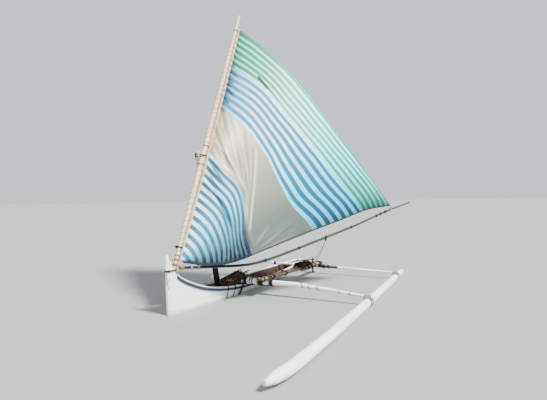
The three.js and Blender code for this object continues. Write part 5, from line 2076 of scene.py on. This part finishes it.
def main() -> None:
    """Builds the scene."""
    logging.basicConfig(level=logging.INFO, format="%(name)s %(message)s")
    Stage().build()
    effects = Effects()
    spars = Spars()
    white = PaintFinish("white_paint_weathered", inside=(0.065, 0.032, 0.019, 1.0), worn=0.28,
                        seams=(0.048, -0.075, -0.16)).build(effects)
    trim = PaintFinish("white_paint_trim", worn=0.32).build(effects)
    pole_paint = PaintFinish("white_paint_poles", worn=0.31, under=srgb(120, 108, 94)).build(effects)
    rail = PaintFinish("blue_paint_rail", "blue_paint", coat=(0.01, 0.026, 0.065, 1.0), under=(0.1, 0.14, 0.18, 1.0),
                       worn=0.34).build(effects)
    rear_paint = PaintFinish("white_paint_rear_beam", worn=0.31, under=srgb(120, 108, 94),
                             band=(1, 0.8, 1.24)).build(effects)
    inner = TimberFinish("inner_timber", "inner_wood", 0.7, light=(0.11, 0.056, 0.03, 1),
                         dark=(0.035, 0.018, 0.011, 1)).build(effects)
    # The yard's side towards the sail is painted darker as painted shade.
    pale = TimberFinish("yard_timber", "pale_wood", 0.6, light=srgb(240, 226, 204), dark=srgb(206, 178, 146),
                        along=tuple(spars.yard_axis), cracks=0.4, blotch=0.15, side=tuple(spars.out)).build(effects)
    stick_dark = TimberFinish("stick_timber_dark", "dark_wood", 0.75, light=(0.06, 0.034, 0.02, 1),
                              dark=(0.012, 0.008, 0.006, 1), blotch=0.5).build(effects)
    stick_rust = TimberFinish("stick_timber_rust", "inner_wood", 0.75, light=(0.2, 0.085, 0.03, 1),
                              dark=(0.04, 0.016, 0.008, 1), blotch=0.4).build(effects)
    sticks = TimberFinish("stick_timber", "pale_wood", 0.7, light=(0.34, 0.2, 0.085, 1),
                          dark=(0.09, 0.04, 0.018, 1)).build(effects)
    mast = TimberFinish("mast_timber", "dark_wood", 0.7, light=(0.03, 0.03, 0.032, 1), dark=(0.008, 0.008, 0.01, 1),
                        along=tuple(spars.mast_axis), fade=(2, 1.9, 2.2)).build(effects)
    # The boom's front part is darkened as painted shadow of the sail, and its underside as painted shade.
    boom = TimberFinish("boom_timber", "dark_wood", 0.65, light=(0.058, 0.051, 0.03, 1), dark=(0.014, 0.013, 0.009, 1),
                        along=(-0.8, 0.58, 0.2), fade=(0, 0.6, 1.5), graded_tone=srgb(26, 28, 30), side=(0.0, 0.0, -1.0),
                        shaded_side_tone=(0.16, 0.17, 0.18, 1.0)).build(effects)
    rudder = TimberFinish("rudder_timber", "dark_wood", 0.65, light=srgb(86, 70, 56), dark=srgb(40, 32, 26),
                          along=(0, 0, 1)).build(effects)
    ropes = Ropes(
        dark=RopeFinish("dark_twisted_rope", "dark_rope").build(effects),
        grey=RopeFinish("grey_twisted_rope", "grey_rope", light=srgb(196, 196, 188),
                        dark=srgb(120, 120, 112)).build(effects),
        tan=RopeFinish("tan_twisted_rope", light=srgb(214, 180, 128), dark=srgb(150, 114, 70)).build(effects),
        thread=RopeFinish("lacing_line", light=(0.5, 0.38, 0.23, 1), dark=(0.22, 0.14, 0.075, 1)).build(effects),
        green=RopeFinish("leech_rope", light=(0.03, 0.22, 0.13, 1), dark=(0.012, 0.1, 0.06, 1)).build(effects))
    bamboo = BambooFinish("dry_bamboo", "bamboo", 0.45).build(effects)
    cloth = SailFinish("striped_sailcloth", "sailcloth", 0.75).build(effects)

    CarriedNodes().build((
        (white, 0.0, "hull_shell"),
        (trim, 0.004, "gunwale_cap_port", "gunwale_cap_starboard", "stem_post", "stern_post", "foredeck", "aft_deck"),
        (rail, 0.004, "rub_rail_port", "rub_rail_starboard"),
        (inner, 0.003, "mast_thwart", "middle_thwart", "aft_thwart", "bottom_boards", "mast_step",
         "rib_1", "rib_2", "rib_3", "rib_4", "rib_5", "rib_6"),
        (pole_paint, 0.0, "crossbeam_front", "float"),
        (rear_paint, 0.0, "crossbeam_rear"),
        (pale, 0.0, "yard"),
        (mast, 0.0, "mast"),
        (boom, 0.0, "boom"),
        (rudder, 0.002, "rudder_stock", "rudder_blade", "tiller")))
    sail = Sail(spars, cloth)
    sail.build()
    poles = BambooPoles(spars, bamboo)
    poles.build()
    Lashings(spars, poles, ropes).build()
    BeamRope(spars, poles, ropes.dark, stick_dark).build()
    PackingSticks(spars, sticks).build()
    StickBundle(spars, (stick_dark, stick_rust, sticks), ropes.dark).build()
    Rigging(spars, poles, ropes, sail).build()


if __name__ == "__main__":
    main()
